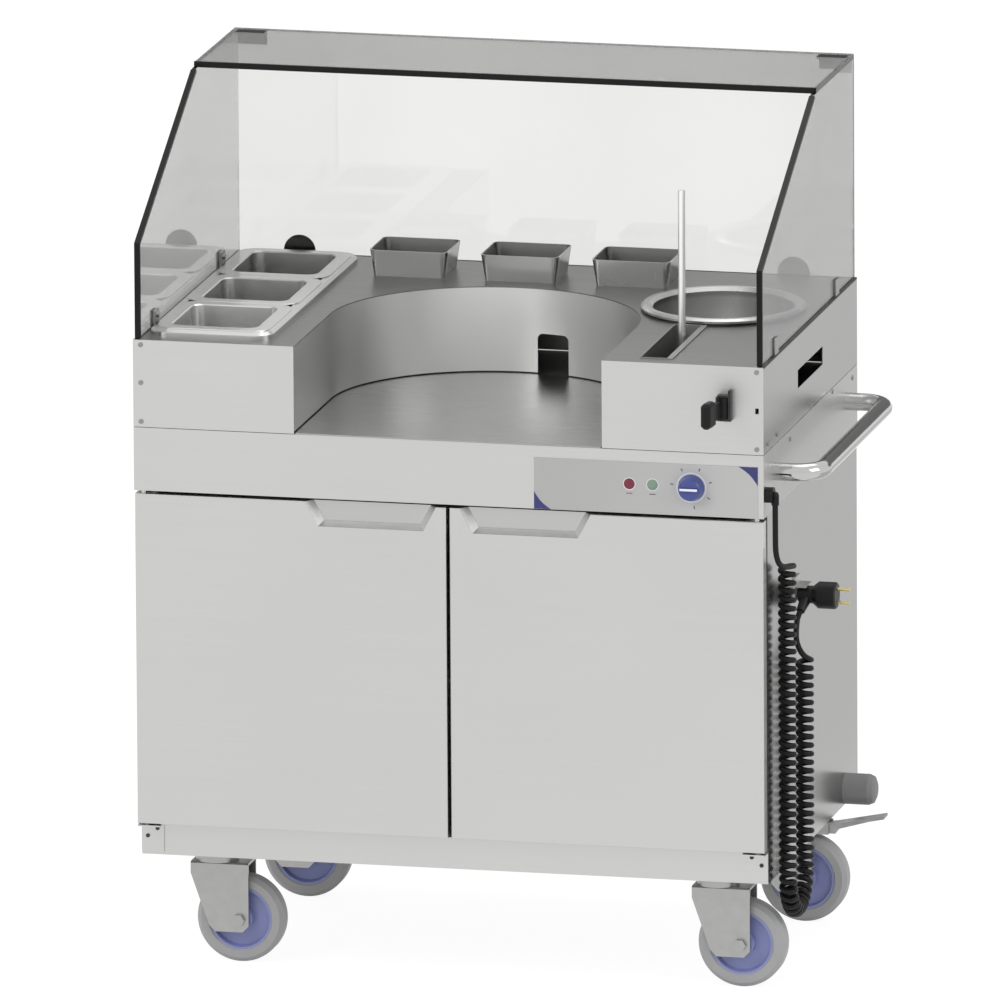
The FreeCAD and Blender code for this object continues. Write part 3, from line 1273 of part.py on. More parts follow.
def least_gap(spine):
    """Least gap between stretches of the wire that are more than half a curl apart, from points along it."""
    points = []
    travelled = 0.0
    for edge in spine.Edges:
        steps = max(2, round(edge.Length / 2.0))
        for step in range(steps):
            at = edge.FirstParameter + (edge.LastParameter - edge.FirstParameter) * step / steps
            points.append((travelled + edge.Length * step / steps, edge.valueAt(at)))
        travelled += edge.Length
    apart = math.pi * CURL_RADIUS
    nearest = 1e9
    window = 200
    for index, (place, point) in enumerate(points):
        for other_place, other in points[index + 1:index + window]:
            if other_place - place > apart:
                nearest = min(nearest, (other - point).Length)
    return nearest - 2 * CORD_RADIUS


def power_cord():
    """Curly supply cord, one unbroken faceted wire."""
    spine = cord_spine()
    start, direction = cord_knots()[0]
    across = X_AXIS
    side = direction.cross(across).normalize()
    radius = CORD_RADIUS / math.sqrt(math.cos(math.pi / CORD_SIDES))
    points = []
    for corner in range(CORD_SIDES):
        angle = 2.0 * math.pi * (corner + 0.5) / CORD_SIDES
        points.append(start + across * (radius * math.cos(angle)) + side * (radius * math.sin(angle)))
    wire = spine.makePipeShell([polygon(points)], True, False)
    area = Part.Face(polygon(points)).Area
    print("cord: length", round(spine.Length), "curls", curl_count(), "gap", round(least_gap(spine), 2),
          "volume ratio", round(wire.Volume / area / spine.Length, 4))
    return wire


# ---- the whole trolley ---------------------------------------------------------------------------------------------
def rear_fork(centre):
    return fork(centre).fuse(pedal_ears(centre))


def pieces():
    parts = {
        "base_tray": base_tray(),
        "side_panel_left": side_panel_left(),
        "side_panel_right": side_panel_right(),
        "back_panel": back_panel(),
        "inner_shelf": inner_shelf(),
        "hinge_brackets": hinge_brackets(),
        "door_left": door(0),
        "door_right": door(1),
        "castor_plates": castor_plates(),
        "bumpers": bumpers(),
        "push_handle": push_handle(),
        "table_top": table_top(),
        "heating_element": heating_element(),
        "recess_plate": recess_plate(),
        "recess_wall": recess_wall(),
        "housing_deck": housing_deck(),
        "housing_fronts": housing_fronts(),
        "housing_side_left": housing_side_left(),
        "housing_side_right": housing_side_right(),
        "housing_back": housing_back(),
        "housing_screws": housing_screws(),
        "locking_lever": locking_lever(),
        "gn_frame": gn_frame(),
        "knife_trough": knife_trough(),
        "upright_rod": upright_rod(),
        "sauce_pot": sauce_pot(),
        "side_glasses": side_glasses(),
        "top_glass": top_glass(),
        "back_glass": back_glass(),
        "edge_trim": edge_trim(),
        "glass_fittings": glass_fittings(),
        "control_panel": control_panel(),
        "red_lamp": lamp(LAMP_X[0]),
        "green_lamp": lamp(LAMP_X[1]),
        "thermostat_knob": thermostat_knob(),
        "cord_gland": cord_gland(),
        "plug": plug(),
        "plug_holder": plug_holder(),
        "power_cord": power_cord(),
    }
    for index, place in enumerate(("front", "middle", "rear")):
        parts["gn_pan_" + place] = gn_pan(index)
    for index, place in enumerate(("left", "middle", "right")):
        parts["dish_" + place] = dish(index)
    for place, centre in castor_centres().items():
        rear = place.startswith("rear")
        parts["castor_fork_" + place] = rear_fork(centre) if rear else fork(centre)
        parts["wheel_hub_" + place] = wheel_hub(centre)
        parts["wheel_tyre_" + place] = wheel_tyre(centre)
        if rear:
            parts["brake_pedal_" + place] = brake_pedal(centre)
    return parts


def origin():
    """Floor point under the middle of the trolley, from the pieces that reach furthest each way."""
    left = CARCASS_INSET - BUMPER_LENGTH
    right = WIDTH + HANDLE_REACH + HANDLE_RADIUS
    tilt = math.radians(LEVER_TILT)
    ahead = (LEVER_LENGTH - LEVER_NOSE) * math.cos(tilt)
    beside = (LEVER_THICKNESS / 2 - LEVER_NOSE) * math.sin(tilt)
    front = -LEVER_PIN_OUT - ahead - beside - LEVER_NOSE
    rear = DEPTH + SCREW_HEAD
    return Vec((left + right) / 2, (front + rear) / 2, 0)


os.makedirs("parts", exist_ok=True)
shift = origin() * -1.0
for name, shape in pieces().items():
    shape.translate(shift)
    shape.exportStep("parts/" + name + ".step")
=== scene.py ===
import math

import bmesh
import bpy
from mathutils import Matrix, Vector


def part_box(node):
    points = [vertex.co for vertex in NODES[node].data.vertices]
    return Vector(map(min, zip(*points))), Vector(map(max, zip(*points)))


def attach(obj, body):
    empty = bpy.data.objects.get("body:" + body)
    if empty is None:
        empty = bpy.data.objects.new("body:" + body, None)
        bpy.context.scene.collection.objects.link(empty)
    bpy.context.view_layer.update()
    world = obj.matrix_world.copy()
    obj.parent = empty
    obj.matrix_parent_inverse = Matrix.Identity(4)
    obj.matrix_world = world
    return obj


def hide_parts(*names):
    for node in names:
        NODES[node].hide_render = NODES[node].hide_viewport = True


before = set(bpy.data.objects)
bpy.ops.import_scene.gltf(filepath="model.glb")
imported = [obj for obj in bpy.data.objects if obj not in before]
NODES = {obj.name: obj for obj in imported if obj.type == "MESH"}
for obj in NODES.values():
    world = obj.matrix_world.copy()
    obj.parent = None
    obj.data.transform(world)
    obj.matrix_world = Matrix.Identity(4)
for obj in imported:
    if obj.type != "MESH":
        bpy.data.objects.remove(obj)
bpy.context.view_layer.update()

# A heated carving trolley in a plain white studio. Metres; Z is up, the doors face -Y, the push handle
# is at +X. The places given below are in millimetres in the cabinet's own coordinates: X from the
# housing's left wall, Y from its front, Z from the bottom of the base, which stands on the castors.

MM = 0.001

CASTOR_HEIGHT = 165.0
TABLE_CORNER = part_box("table_top")[0]
CABINET_LEFT = TABLE_CORNER.x / MM
CABINET_FRONT = TABLE_CORNER.y / MM


def place(x, y, z):
    """Cabinet millimetres to metres in the frame."""
    return Vector((x + CABINET_LEFT, y + CABINET_FRONT, z + CASTOR_HEIGHT)) * MM


# ---- camera ------------------------------------------------------------------------------------------
CAMERA_AZIMUTH = math.radians(13.281)
CAMERA_ELEVATION = math.radians(12.838)
CAMERA_ROLL = math.radians(-0.341)
CAMERA_DISTANCE = 40.0
CAMERA_TARGET = place(453.4, 300.0, 466.8)
SENSOR_WIDTH = 36.0
FOCAL_LENGTH = 1027.6
CLIP_START = 1.0
CLIP_END = 400.0


def add_camera():
    """Long lens at the photograph's viewing angle."""
    level = math.cos(CAMERA_ELEVATION)
    forward = Vector((-math.sin(CAMERA_AZIMUTH) * level, math.cos(CAMERA_AZIMUTH) * level,
                      -math.sin(CAMERA_ELEVATION)))
    right = Vector((math.cos(CAMERA_AZIMUTH), math.sin(CAMERA_AZIMUTH), 0.0))
    up = right.cross(forward)
    rolled_right = right * math.cos(CAMERA_ROLL) + up * math.sin(CAMERA_ROLL)
    rolled_up = up * math.cos(CAMERA_ROLL) - right * math.sin(CAMERA_ROLL)
    turn = Matrix((rolled_right, rolled_up, -forward)).transposed().to_4x4()
    data = bpy.data.cameras.new("camera")
    data.lens = FOCAL_LENGTH
    data.sensor_width = SENSOR_WIDTH
    data.clip_start = CLIP_START
    data.clip_end = CLIP_END
    camera = bpy.data.objects.new("camera", data)
    bpy.context.scene.collection.objects.link(camera)
    camera.matrix_world = Matrix.Translation(CAMERA_TARGET - forward * CAMERA_DISTANCE) @ turn
    bpy.context.scene.camera = camera


# ---- studio ------------------------------------------------------------------------------------------
WHITE = (1.0, 1.0, 1.0, 1.0)
AMBIENT = 0.80
FLOOR_SIZE = 160.0
FLOOR_TONE = 0.90
FLOOR_GLOW = 0.85
GLOW_STRENGTH = 1.08
REAR_CARD = [(-4.0, 4.0, 0.95), (4.0, 4.0, 0.95), (4.0, 4.0, 2.7), (-4.0, 4.0, 2.7)]
REAR_CARD_TONE = 0.20
FLOOR_CARD = [(0.56, 0.0, 0.004), (2.6, 0.0, 0.004), (2.6, 6.0, 0.004), (0.56, 6.0, 0.004)]
FLOOR_CARD_TONE = 0.70
LAMP_AIM = Vector((0.0, 0.0, 0.6))
# Name, place, side of the square and power in watts.
LAMPS = (
    ("key_lamp", (-2.6, -3.6, 3.6), 2.2, 70.0),
    ("fill_lamp", (3.6, -1.2, 2.4), 2.0, 24.0),
    ("top_lamp", (0.4, 1.0, 4.2), 2.4, 30.0),
)


def background_ray(tree):
    """1 for rays from the camera and for mirrored and refracted ones, 0 for diffuse light."""
    rays = tree.nodes.new("ShaderNodeLightPath")
    total = rays.outputs["Is Camera Ray"]
    for name in ("Is Glossy Ray", "Is Transmission Ray"):
        add = tree.nodes.new("ShaderNodeMath")
        add.operation = "MAXIMUM"
        tree.links.new(total, add.inputs[0])
        tree.links.new(rays.outputs[name], add.inputs[1])
        total = add.outputs[0]
    return total


def add_world():
    """Even light on the trolley, and plain white for the camera and in metal and glass."""
    world = bpy.data.worlds.new("studio")
    bpy.context.scene.world = world
    world.use_nodes = True
    tree = world.node_tree
    tree.nodes.clear()
    light = tree.nodes.new("ShaderNodeBackground")
    light.inputs["Color"].default_value = WHITE
    light.inputs["Strength"].default_value = AMBIENT
    seen = tree.nodes.new("ShaderNodeBackground")
    seen.inputs["Color"].default_value = WHITE
    seen.inputs["Strength"].default_value = 1.0
    mix = tree.nodes.new("ShaderNodeMixShader")
    output = tree.nodes.new("ShaderNodeOutputWorld")
    tree.links.new(background_ray(tree), mix.inputs[0])
    tree.links.new(light.outputs[0], mix.inputs[1])
    tree.links.new(seen.outputs[0], mix.inputs[2])
    tree.links.new(mix.outputs[0], output.inputs["Surface"])


def studio_sheet(name, corners):
    """Flat sheet with an empty material; returns the sheet and the material's tree."""
    mesh = bpy.data.meshes.new(name)
    mesh.from_pydata(corners, [], [(0, 1, 2, 3)])
    sheet = bpy.data.objects.new(name, mesh)
    bpy.context.scene.collection.objects.link(sheet)
    material = bpy.data.materials.new(name)
    material.use_nodes = True
    material.node_tree.nodes.clear()
    mesh.materials.append(material)
    return sheet, material.node_tree


def add_floor():
    """Pale floor that keeps the trolley's soft shadow."""
    half = FLOOR_SIZE / 2
    corners = [(-half, -half, 0.0), (half, -half, 0.0), (half, half, 0.0), (-half, half, 0.0)]
    floor, tree = studio_sheet("floor", corners)
    matte = tree.nodes.new("ShaderNodeBsdfDiffuse")
    matte.inputs["Color"].default_value = (FLOOR_TONE, FLOOR_TONE, FLOOR_TONE, 1.0)
    glow = tree.nodes.new("ShaderNodeEmission")
    glow.inputs["Strength"].default_value = GLOW_STRENGTH
    share = tree.nodes.new("ShaderNodeMath")
    share.operation = "MULTIPLY"
    share.inputs[1].default_value = FLOOR_GLOW
    mix = tree.nodes.new("ShaderNodeMixShader")
    output = tree.nodes.new("ShaderNodeOutputMaterial")
    tree.links.new(background_ray(tree), share.inputs[0])
    tree.links.new(share.outputs[0], mix.inputs[0])
    tree.links.new(matte.outputs[0], mix.inputs[1])
    tree.links.new(glow.outputs[0], mix.inputs[2])
    tree.links.new(mix.outputs[0], output.inputs["Surface"])


def add_card(name, corners, tone):
    """Grey card that only metal and glass mirror."""
    card, tree = studio_sheet(name, corners)
    light = tree.nodes.new("ShaderNodeEmission")
    light.inputs["Strength"].default_value = tone
    output = tree.nodes.new("ShaderNodeOutputMaterial")
    tree.links.new(light.outputs[0], output.inputs["Surface"])
    for ray in ("camera", "diffuse", "transmission", "shadow", "volume_scatter"):
        setattr(card, "visible_" + ray, False)


def add_lamps():
    for name, spot, size, power in LAMPS:
        data = bpy.data.lights.new(name, "AREA")
        data.shape = "SQUARE"
        data.size = size
        data.energy = power
        lamp = bpy.data.objects.new(name, data)
        bpy.context.scene.collection.objects.link(lamp)
        lamp.location = spot
        lamp.rotation_euler = (LAMP_AIM - Vector(spot)).to_track_quat("-Z", "Y").to_euler()


# ---- shader parts ------------------------------------------------------------------------------------
NOISE_LOW = 0.3
NOISE_HIGH = 0.7


def plain(name, colour, metallic=0.0, roughness=0.5, **sockets):
    """Material with one shader; returns the material, its tree and its shader."""
    material = bpy.data.materials.new(name)
    material.use_nodes = True
    tree = material.node_tree
    shader = tree.nodes["Principled BSDF"]
    shader.inputs["Base Color"].default_value = colour
    shader.inputs["Metallic"].default_value = metallic
    shader.inputs["Roughness"].default_value = roughness
    for socket, value in sockets.items():
        shader.inputs[socket.replace("_", " ")].default_value = value
    material.diffuse_color = colour
    return material, tree, shader


def noise(tree, scale, detail):
    """Noise in object coordinates times a scale along each axis."""
    source = tree.nodes.new("ShaderNodeTexCoord")
    mapping = tree.nodes.new("ShaderNodeMapping")
    mapping.inputs["Scale"].default_value = scale
    tree.links.new(source.outputs["Object"], mapping.inputs["Vector"])
    node = tree.nodes.new("ShaderNodeTexNoise")
    node.inputs["Scale"].default_value = 1.0
    node.inputs["Detail"].default_value = detail
    node.inputs["Roughness"].default_value = 0.5
    tree.links.new(mapping.outputs["Vector"], node.inputs["Vector"])
    return node.outputs["Fac"]


def spread(tree, value, low, high):
    """Maps a noise value from its usual range onto low to high."""
    node = tree.nodes.new("ShaderNodeMapRange")
    node.inputs["From Min"].default_value = NOISE_LOW
    node.inputs["From Max"].default_value = NOISE_HIGH
    node.inputs["To Min"].default_value = low
    node.inputs["To Max"].default_value = high
    tree.links.new(value, node.inputs["Value"])
    return node.outputs["Result"]


def vary(tree, value, middle, share):
    """Noise value as a number that varies by a share either way."""
    return spread(tree, value, middle * (1.0 - share), middle * (1.0 + share))


def tint(tree, shader, colour, factor):
    """Base colour times a varying factor."""
    node = tree.nodes.new("ShaderNodeMix")
    node.data_type = "RGBA"
    node.blend_type = "MULTIPLY"
    node.inputs["Factor"].default_value = 1.0
    node.inputs["A"].default_value = colour
    combine = tree.nodes.new("ShaderNodeCombineColor")
    for channel in ("Red", "Green", "Blue"):
        tree.links.new(factor, combine.inputs[channel])
    tree.links.new(combine.outputs["Color"], node.inputs["B"])
    tree.links.new(node.outputs["Result"], shader.inputs["Base Color"])


def bump(tree, shader, height, depth):
    node = tree.nodes.new("ShaderNodeBump")
    node.inputs["Strength"].default_value = 1.0
    node.inputs["Distance"].default_value = depth
    tree.links.new(height, node.inputs["Height"])
    tree.links.new(node.outputs["Normal"], shader.inputs["Normal"])


def multiply(tree, one, other):
    node = tree.nodes.new("ShaderNodeMath")
    node.operation = "MULTIPLY"
    tree.links.new(one, node.inputs[0])
    tree.links.new(other, node.inputs[1])
    return node.outputs[0]


def along(tree, axis, start, end, low, high, kind="Object"):
    """Factor from low to high between two places on an object axis, or two values of its normal."""
    source = tree.nodes.new("ShaderNodeTexCoord")
    parts = tree.nodes.new("ShaderNodeSeparateXYZ")
    tree.links.new(source.outputs[kind], parts.inputs[0])
    node = tree.nodes.new("ShaderNodeMapRange")
    node.interpolation_type = "SMOOTHSTEP"
    node.inputs["From Min"].default_value = start
    node.inputs["From Max"].default_value = end
    node.inputs["To Min"].default_value = low
    node.inputs["To Max"].default_value = high
    tree.links.new(parts.outputs[axis], node.inputs["Value"])
    return node.outputs["Result"]


def override(tree, socket, where, value):
    """Another value for a socket where a mask is 1."""
    mix = tree.nodes.new("ShaderNodeMix")
    mix.data_type = "RGBA" if socket.type == "RGBA" else "FLOAT"
    if socket.is_linked:
        tree.links.new(socket.links[0].from_socket, mix.inputs["A"])
    else:
        mix.inputs["A"].default_value = socket.default_value
    mix.inputs["B"].default_value = value
    tree.links.new(where, mix.inputs["Factor"])
    tree.links.new(mix.outputs["Result"], socket)


def second_finish(material, places, finish):
    """Other colour, metallic and roughness beyond all the places; see step_at."""
    tree = material.node_tree
    shader = tree.nodes["Principled BSDF"]
    masks = [along(tree, axis, start, end, 0.0, 1.0, *kind) for axis, start, end, *kind in places]
    where = masks[0]
    for mask in masks[1:]:
        where = multiply(tree, where, mask)
    for socket, value in zip(("Base Color", "Metallic", "Roughness"), finish):
        override(tree, shader.inputs[socket], where, value)


def step_at(axis, level, distances):
    """Axis and the two ends of a short step on it, in millimetres from a level in metres."""
    start, end = distances
    return axis, level + start * MM, level + end * MM


# ---- kinds of material -------------------------------------------------------------------------------
STEEL_WARMTH = 0.985
LEVEL_GRAIN = (4.0, 4.0, 900.0)
CROSS_GRAIN = (4.0, 900.0, 4.0)
ZINC_GRAIN = (60.0, 60.0, 60.0)
HEATER_GRAIN = (40.0, 40.0, 40.0)
STREAK_DETAIL = 3.0
STREAK_VARIATION = 0.02
STREAK_DEPTH = 0.012 * MM
BRUSHED_CLOUDS = (2.2, 2.2, 2.2)
BRUSHED_CLOUD_VARIATION = 0.015
SATIN_CLOUDS = (5.0, 5.0, 5.0)
SATIN_CLOUD_VARIATION = 0.03
SATIN_ROUGHNESS_VARIATION = 0.10
ROUGHNESS_VARIATION = 0.15
CLOUD_DETAIL = 3.0
MOULD_GRAIN = 700.0
MOULD_DEPTH = 0.03 * MM
MOULD_CLOUDS = (9.0, 9.0, 9.0)
MOULD_VARIATION = 0.07
FINE_DETAIL = 2.0
GLASS_ROUGHNESS = 0.01
GLASS_IOR = 1.45
GLASS_FILM = (3.0, 3.0, 3.0)
GLASS_FILM_VARIATION = 0.03


def grey(level):
    return (level, level, level * STEEL_WARMTH, 1.0)


def brushed(name, level, roughness, grain, variation=STREAK_VARIATION):
    """Brushed stainless steel: fine streaks along the grain and a soft cloudiness from handling."""
    colour = grey(level)
    material, tree, shader = plain(name, colour, metallic=1.0, roughness=roughness)
    streaks = noise(tree, grain, STREAK_DETAIL)
    clouds = noise(tree, BRUSHED_CLOUDS, FINE_DETAIL)
    factor = multiply(tree, vary(tree, streaks, 1.0, variation),
                      vary(tree, clouds, 1.0, BRUSHED_CLOUD_VARIATION))
    tint(tree, shader, colour, factor)
    tree.links.new(vary(tree, streaks, roughness, ROUGHNESS_VARIATION), shader.inputs["Roughness"])
    bump(tree, shader, streaks, STREAK_DEPTH)
    return material


def satin(name, level, roughness, change=None):
    """Evenly polished steel with a soft cloudiness; the tone may change along an axis."""
    colour = grey(level)
    material, tree, shader = plain(name, colour, metallic=1.0, roughness=roughness)
    clouds = noise(tree, SATIN_CLOUDS, CLOUD_DETAIL)
    factor = vary(tree, clouds, 1.0, SATIN_CLOUD_VARIATION)
    if change:
        factor = multiply(tree, factor, along(tree, *change))
    tint(tree, shader, colour, factor)
    tree.links.new(vary(tree, clouds, roughness, SATIN_ROUGHNESS_VARIATION), shader.inputs["Roughness"])
    return material


def moulded(name, grain=MOULD_GRAIN):
    """Moulded plastic or rubber, or a print, with a fine even texture."""
    colour, roughness, specular = MOULDINGS[name]
    material, tree, shader = plain(name, colour, roughness=roughness, Specular_IOR_Level=specular)
    fine = noise(tree, (grain, grain, grain), FINE_DETAIL)
    broad = noise(tree, MOULD_CLOUDS, CLOUD_DETAIL)
    tint(tree, shader, colour, vary(tree, broad, 1.0, MOULD_VARIATION))
    tree.links.new(vary(tree, broad, roughness, ROUGHNESS_VARIATION), shader.inputs["Roughness"])
    bump(tree, shader, fine, MOULD_DEPTH)
    return material


def pane(name, level, mirror=1.0):
    """Clear safety glass with a faint film that thickens and thins."""
    colour = grey(level)
    material, tree, shader = plain(name, colour, roughness=GLASS_ROUGHNESS, Transmission_Weight=1.0,
                                   IOR=GLASS_IOR, Specular_Tint=(mirror, mirror, mirror, 1.0))
    film = noise(tree, GLASS_FILM, CLOUD_DETAIL)
    tint(tree, shader, colour, vary(tree, film, 1.0, GLASS_FILM_VARIATION))
    return material


# ---- tones -------------------------------------------------------------------------------------------
# Colour, roughness and specular level of each moulded or printed material.
MOULDINGS = {
    "black_plastic": ((0.008, 0.008, 0.008, 1.0), 0.40, 0.18),
    "black_trim": ((0.005, 0.005, 0.005, 1.0), 0.35, 0.20),
    "plug_black": ((0.009, 0.009, 0.009, 1.0), 0.42, 0.30),
    "cord_rubber": ((0.006, 0.006, 0.006, 1.0), 0.38, 0.20),
    "dark_rubber": ((0.20, 0.20, 0.20, 1.0), 0.60, 0.50),
    "grey_tyre": ((0.36, 0.36, 0.365, 1.0), 0.60, 0.50),
    "blue_hub": ((0.24, 0.265, 0.51, 1.0), 0.35, 0.50),
    "blue_knob": ((0.05, 0.07, 0.26, 1.0), 0.30, 0.50),
    "red_lens": ((0.17, 0.010, 0.035, 1.0), 0.20, 0.50),
    "green_lens": ((0.19, 0.27, 0.20, 1.0), 0.25, 0.50),
    "print_blue": ((0.03, 0.032, 0.15, 1.0), 0.40, 0.50),
    "print_pale": ((0.66, 0.67, 0.72, 1.0), 0.45, 0.50),
    "print_dark": ((0.09, 0.09, 0.10, 1.0), 0.50, 0.50),
    "print_red": ((0.34, 0.06, 0.10, 1.0), 0.50, 0.50),
    "pointer_white": ((0.85, 0.85, 0.86, 1.0), 0.40, 0.50),
}

# Tone and roughness of the steels, and the grain of the brushed ones. The up-facing deck and plate are
# painted darker than the fronts of the same steel, and the sides a little darker: painted shade.
COVER_STEEL = (0.58, 0.38, LEVEL_GRAIN)
DECK_STEEL = (0.21, 0.34, CROSS_GRAIN)
PLATE_STEEL = (0.37, 0.30, CROSS_GRAIN)
PLATE_VARIATION = 0.03
ZINC = (0.40, 0.36, ZINC_GRAIN)
ZINC_VARIATION = 0.05
HEATER_STEEL = (0.12, 0.45, HEATER_GRAIN)
HEATER_VARIATION = 0.10
SIDE_STEEL = (0.50, 0.24)
HOUSING_SIDE_STEEL = (0.48, 0.24)
WALL_STEEL = (0.70, 0.32)
TROUGH_STEEL = (0.34, 0.50)
POLISHED_STEEL = (0.52, 0.14)
ROD_STEEL = (0.88, 0.32)
FITTINGS_STEEL = (0.36, 0.30)
SCREW_STEEL = (0.30, 0.35)
DISH_STEEL = (0.50, 0.26)
POT_STEEL = (0.48, 0.28)
RIM_STEEL = (0.67, 0.24)

# Colour, metallic and roughness of what differs on a piece.
# Painted shade: a black line on the recess wall's foot, standing in for the shade that falls in the joint
# over the plate.
PAINTED_FOOT_SHADE = ((0.01, 0.01, 0.01, 1.0), 0.0, 0.6)
# Painted shade: a black line along the right wall's top, standing in for the shade in the joint under the
# side glass.
PAINTED_TOP_SHADE = ((0.01, 0.01, 0.01, 1.0), 0.0, 0.5)
# Painted dark reflection and shade on the lever's steel bracket; painted dark reflection on the left lug
# of the rear wall.
PAINTED_DARK_REFLECTION = ((0.02, 0.02, 0.02, 1.0), 0.0, 0.45)
DARK_SCREW = ((0.02, 0.02, 0.02, 1.0), 0.0, 0.4)
# Painted reflection: pale on the right lug, standing in for the light it mirrors.
PALE_LUG_REFLECTION = ((0.66, 0.66, 0.65, 1.0), 0.0, 0.45)
PLUG_PINS = ((0.78, 0.66, 0.32, 1.0), 1.0, 0.25)
# Painted shade inside the dishes' rear walls, where the dish shades itself.
DISH_REAR_WALL_SHADE = (grey(0.17), 1.0, 0.26)
# Painted highlight on the grips' slopes and painted shade on their recessed floors.
GRIP_SLOPE_HIGHLIGHT = (grey(0.78), 1.0, 0.38)
GRIP_FLOOR_SHADE = (grey(0.50), 1.0, 0.38)

# Where it begins, in millimetres: over the plate, from the side wall's top, behind a dish's front, from
# the deck's top, from the pins' ends, before the covers' face, from the hinge brackets' low corner, from
# the doors' top, behind the doors' face, and on either side of the middle.
PAINTED_FOOT_SHADE_Z = (2.0, 1.6)
PAINTED_TOP_SHADE_Z = (-2.8, -2.4)
DISH_WALL_Y = (12.0, 30.0)
DISH_WALL_NORMAL = ("Y", 0.3, -0.3, "Normal")
POT_PAINTED_LIGHT_Z = (-6.0, 0.0)
LUG_FOOT_Z = (1.0, 1.3)
PINS_X = (-17.8, -17.4)
COVER_PAINTED_DARK_Y = (-0.6, -1.0)
BRACKET_SCREW_Y = (22.7, 22.4)
BRACKET_SCREW_Z = (38.0, 37.7)
GRIP_Z = (-38.0, -37.0)
GRIP_SLOPE_Y = (0.3, 0.9)
GRIP_FLOOR_Y = (13.0, 13.6)
LEFT_LUG_X = (-100.0, -101.0)
RIGHT_LUG_X = (100.0, 101.0)

# Painted light and shade: the pot is painted brighter below the deck, the pans' rims painted darker to
# the rear, and the panel painted brighter to the right.
POT_PAINTED_LIGHT_FACTOR = 1.45
RIM_END = 60.0
RIM_REAR_SHADE_FACTOR = 0.72
PANEL_COLOUR = (0.42, 0.42, 0.42, 1.0)
PANEL_ROUGHNESS = 0.4
PANEL_TINT = (1.0, 1.0, 0.99, 1.0)
PANEL_PAINTED_LIGHT_TONES = (0.40, 0.46)

# Tone of the panes, and how much of a full mirror the side ones are.
SIDE_PANE = (0.48, 0.88)
TOP_PANE = (0.66,)
BACK_PANE = (0.80,)


# ---- finishes of the CAD nodes -----------------------------------------------------------------------
def recess_wall_finish():
    """Satin wall with painted shade, a black line at its joint over the plate."""
    wall = satin("steel_wall", *WALL_STEEL)
    second_finish(wall, [step_at("Z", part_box("recess_plate")[1].z, PAINTED_FOOT_SHADE_Z)], PAINTED_FOOT_SHADE)
    return wall


def right_wall_finish():
    """Satin wall with painted shade, a black line at its joint under the side glass."""
    wall = satin("steel_housing_side", *HOUSING_SIDE_STEEL)
    second_finish(wall, [step_at("Z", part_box("housing_side_right")[1].z, PAINTED_TOP_SHADE_Z)], PAINTED_TOP_SHADE)
    return wall


def dish_finish():
    """Satin dish with painted shade on the inside of its rear wall."""
    dishes = satin("steel_dishes", *DISH_STEEL)
    rear = step_at("Y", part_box("dish_left")[0].y, DISH_WALL_Y)
    second_finish(dishes, [rear, DISH_WALL_NORMAL], DISH_REAR_WALL_SHADE)
    return dishes


def pot_finish():
    # Painted light: the pot is brighter below the deck.
    deck_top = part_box("housing_deck")[1].z
    return satin("steel_pot", *POT_STEEL, (*step_at("Z", deck_top, POT_PAINTED_LIGHT_Z), POT_PAINTED_LIGHT_FACTOR, 1.0))


def rim_finish():
    # Painted shade: the pans' frame and rims darken to the rear.
    low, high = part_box("gn_frame")
    ends = low.y + RIM_END * MM, high.y - RIM_END * MM
    return satin("steel_rim", *RIM_STEEL, ("Y", *ends, 1.0, RIM_REAR_SHADE_FACTOR))


def panel_finish():
    low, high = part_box("control_panel")
    panel, tree, shader = plain("panel_foil", PANEL_COLOUR, roughness=PANEL_ROUGHNESS)
    # Painted light: the foil brightens to the right.
    tint(tree, shader, PANEL_TINT, along(tree, "X", low.x, high.x, *PANEL_PAINTED_LIGHT_TONES))
    return panel


def plug_finish():
    """Black plug with brass pins."""
    plug = moulded("plug_black")
    second_finish(plug, [step_at("X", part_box("plug")[1].x, PINS_X)], PLUG_PINS)
    return plug


def cover_finish():
    """Brushed covers; the lever's steel bracket on their face is painted black, a painted dark reflection
    and shade.
    """
    covers = brushed("steel_covers", *COVER_STEEL)
    second_finish(covers, [step_at("Y", CABINET_FRONT * MM, COVER_PAINTED_DARK_Y)], PAINTED_DARK_REFLECTION)
    return covers


def bracket_finish():
    """Brushed hinge brackets with dark screws."""
    brackets = brushed("steel_brackets", *COVER_STEEL)
    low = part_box("hinge_brackets")[0]
    places = [step_at("Y", low.y, BRACKET_SCREW_Y), step_at("Z", low.z, BRACKET_SCREW_Z)]
    second_finish(brackets, places, DARK_SCREW)
    return brackets


def door_finish():
    """Brushed doors; the finger grips carry a painted highlight on their slopes and painted shade on
    their floors.
    """
    doors = brushed("steel_doors", *COVER_STEEL)
    low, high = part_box("door_left")
    grip = step_at("Z", high.z, GRIP_Z)
    second_finish(doors, [grip, step_at("Y", low.y, GRIP_SLOPE_Y)], GRIP_SLOPE_HIGHLIGHT)
    second_finish(doors, [grip, step_at("Y", low.y, GRIP_FLOOR_Y)], GRIP_FLOOR_SHADE)
    return doors


def back_finish():
    """Brushed rear wall; its two lugs carry a painted reflection, dark on the left one and pale on the
    right one.
    """
    back = brushed("steel_back", *COVER_STEEL)
    lug = step_at("Z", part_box("housing_deck")[1].z, LUG_FOOT_Z)
    second_finish(back, [step_at("X", 0.0, LEFT_LUG_X), lug], PAINTED_DARK_REFLECTION)
    second_finish(back, [step_at("X", 0.0, RIGHT_LUG_X), lug], PALE_LUG_REFLECTION)
    return back


def nodes_named(*starts):
    """Names of the CAD nodes that begin with one of the starts."""
    return tuple(name for name in NODES if name.startswith(starts))


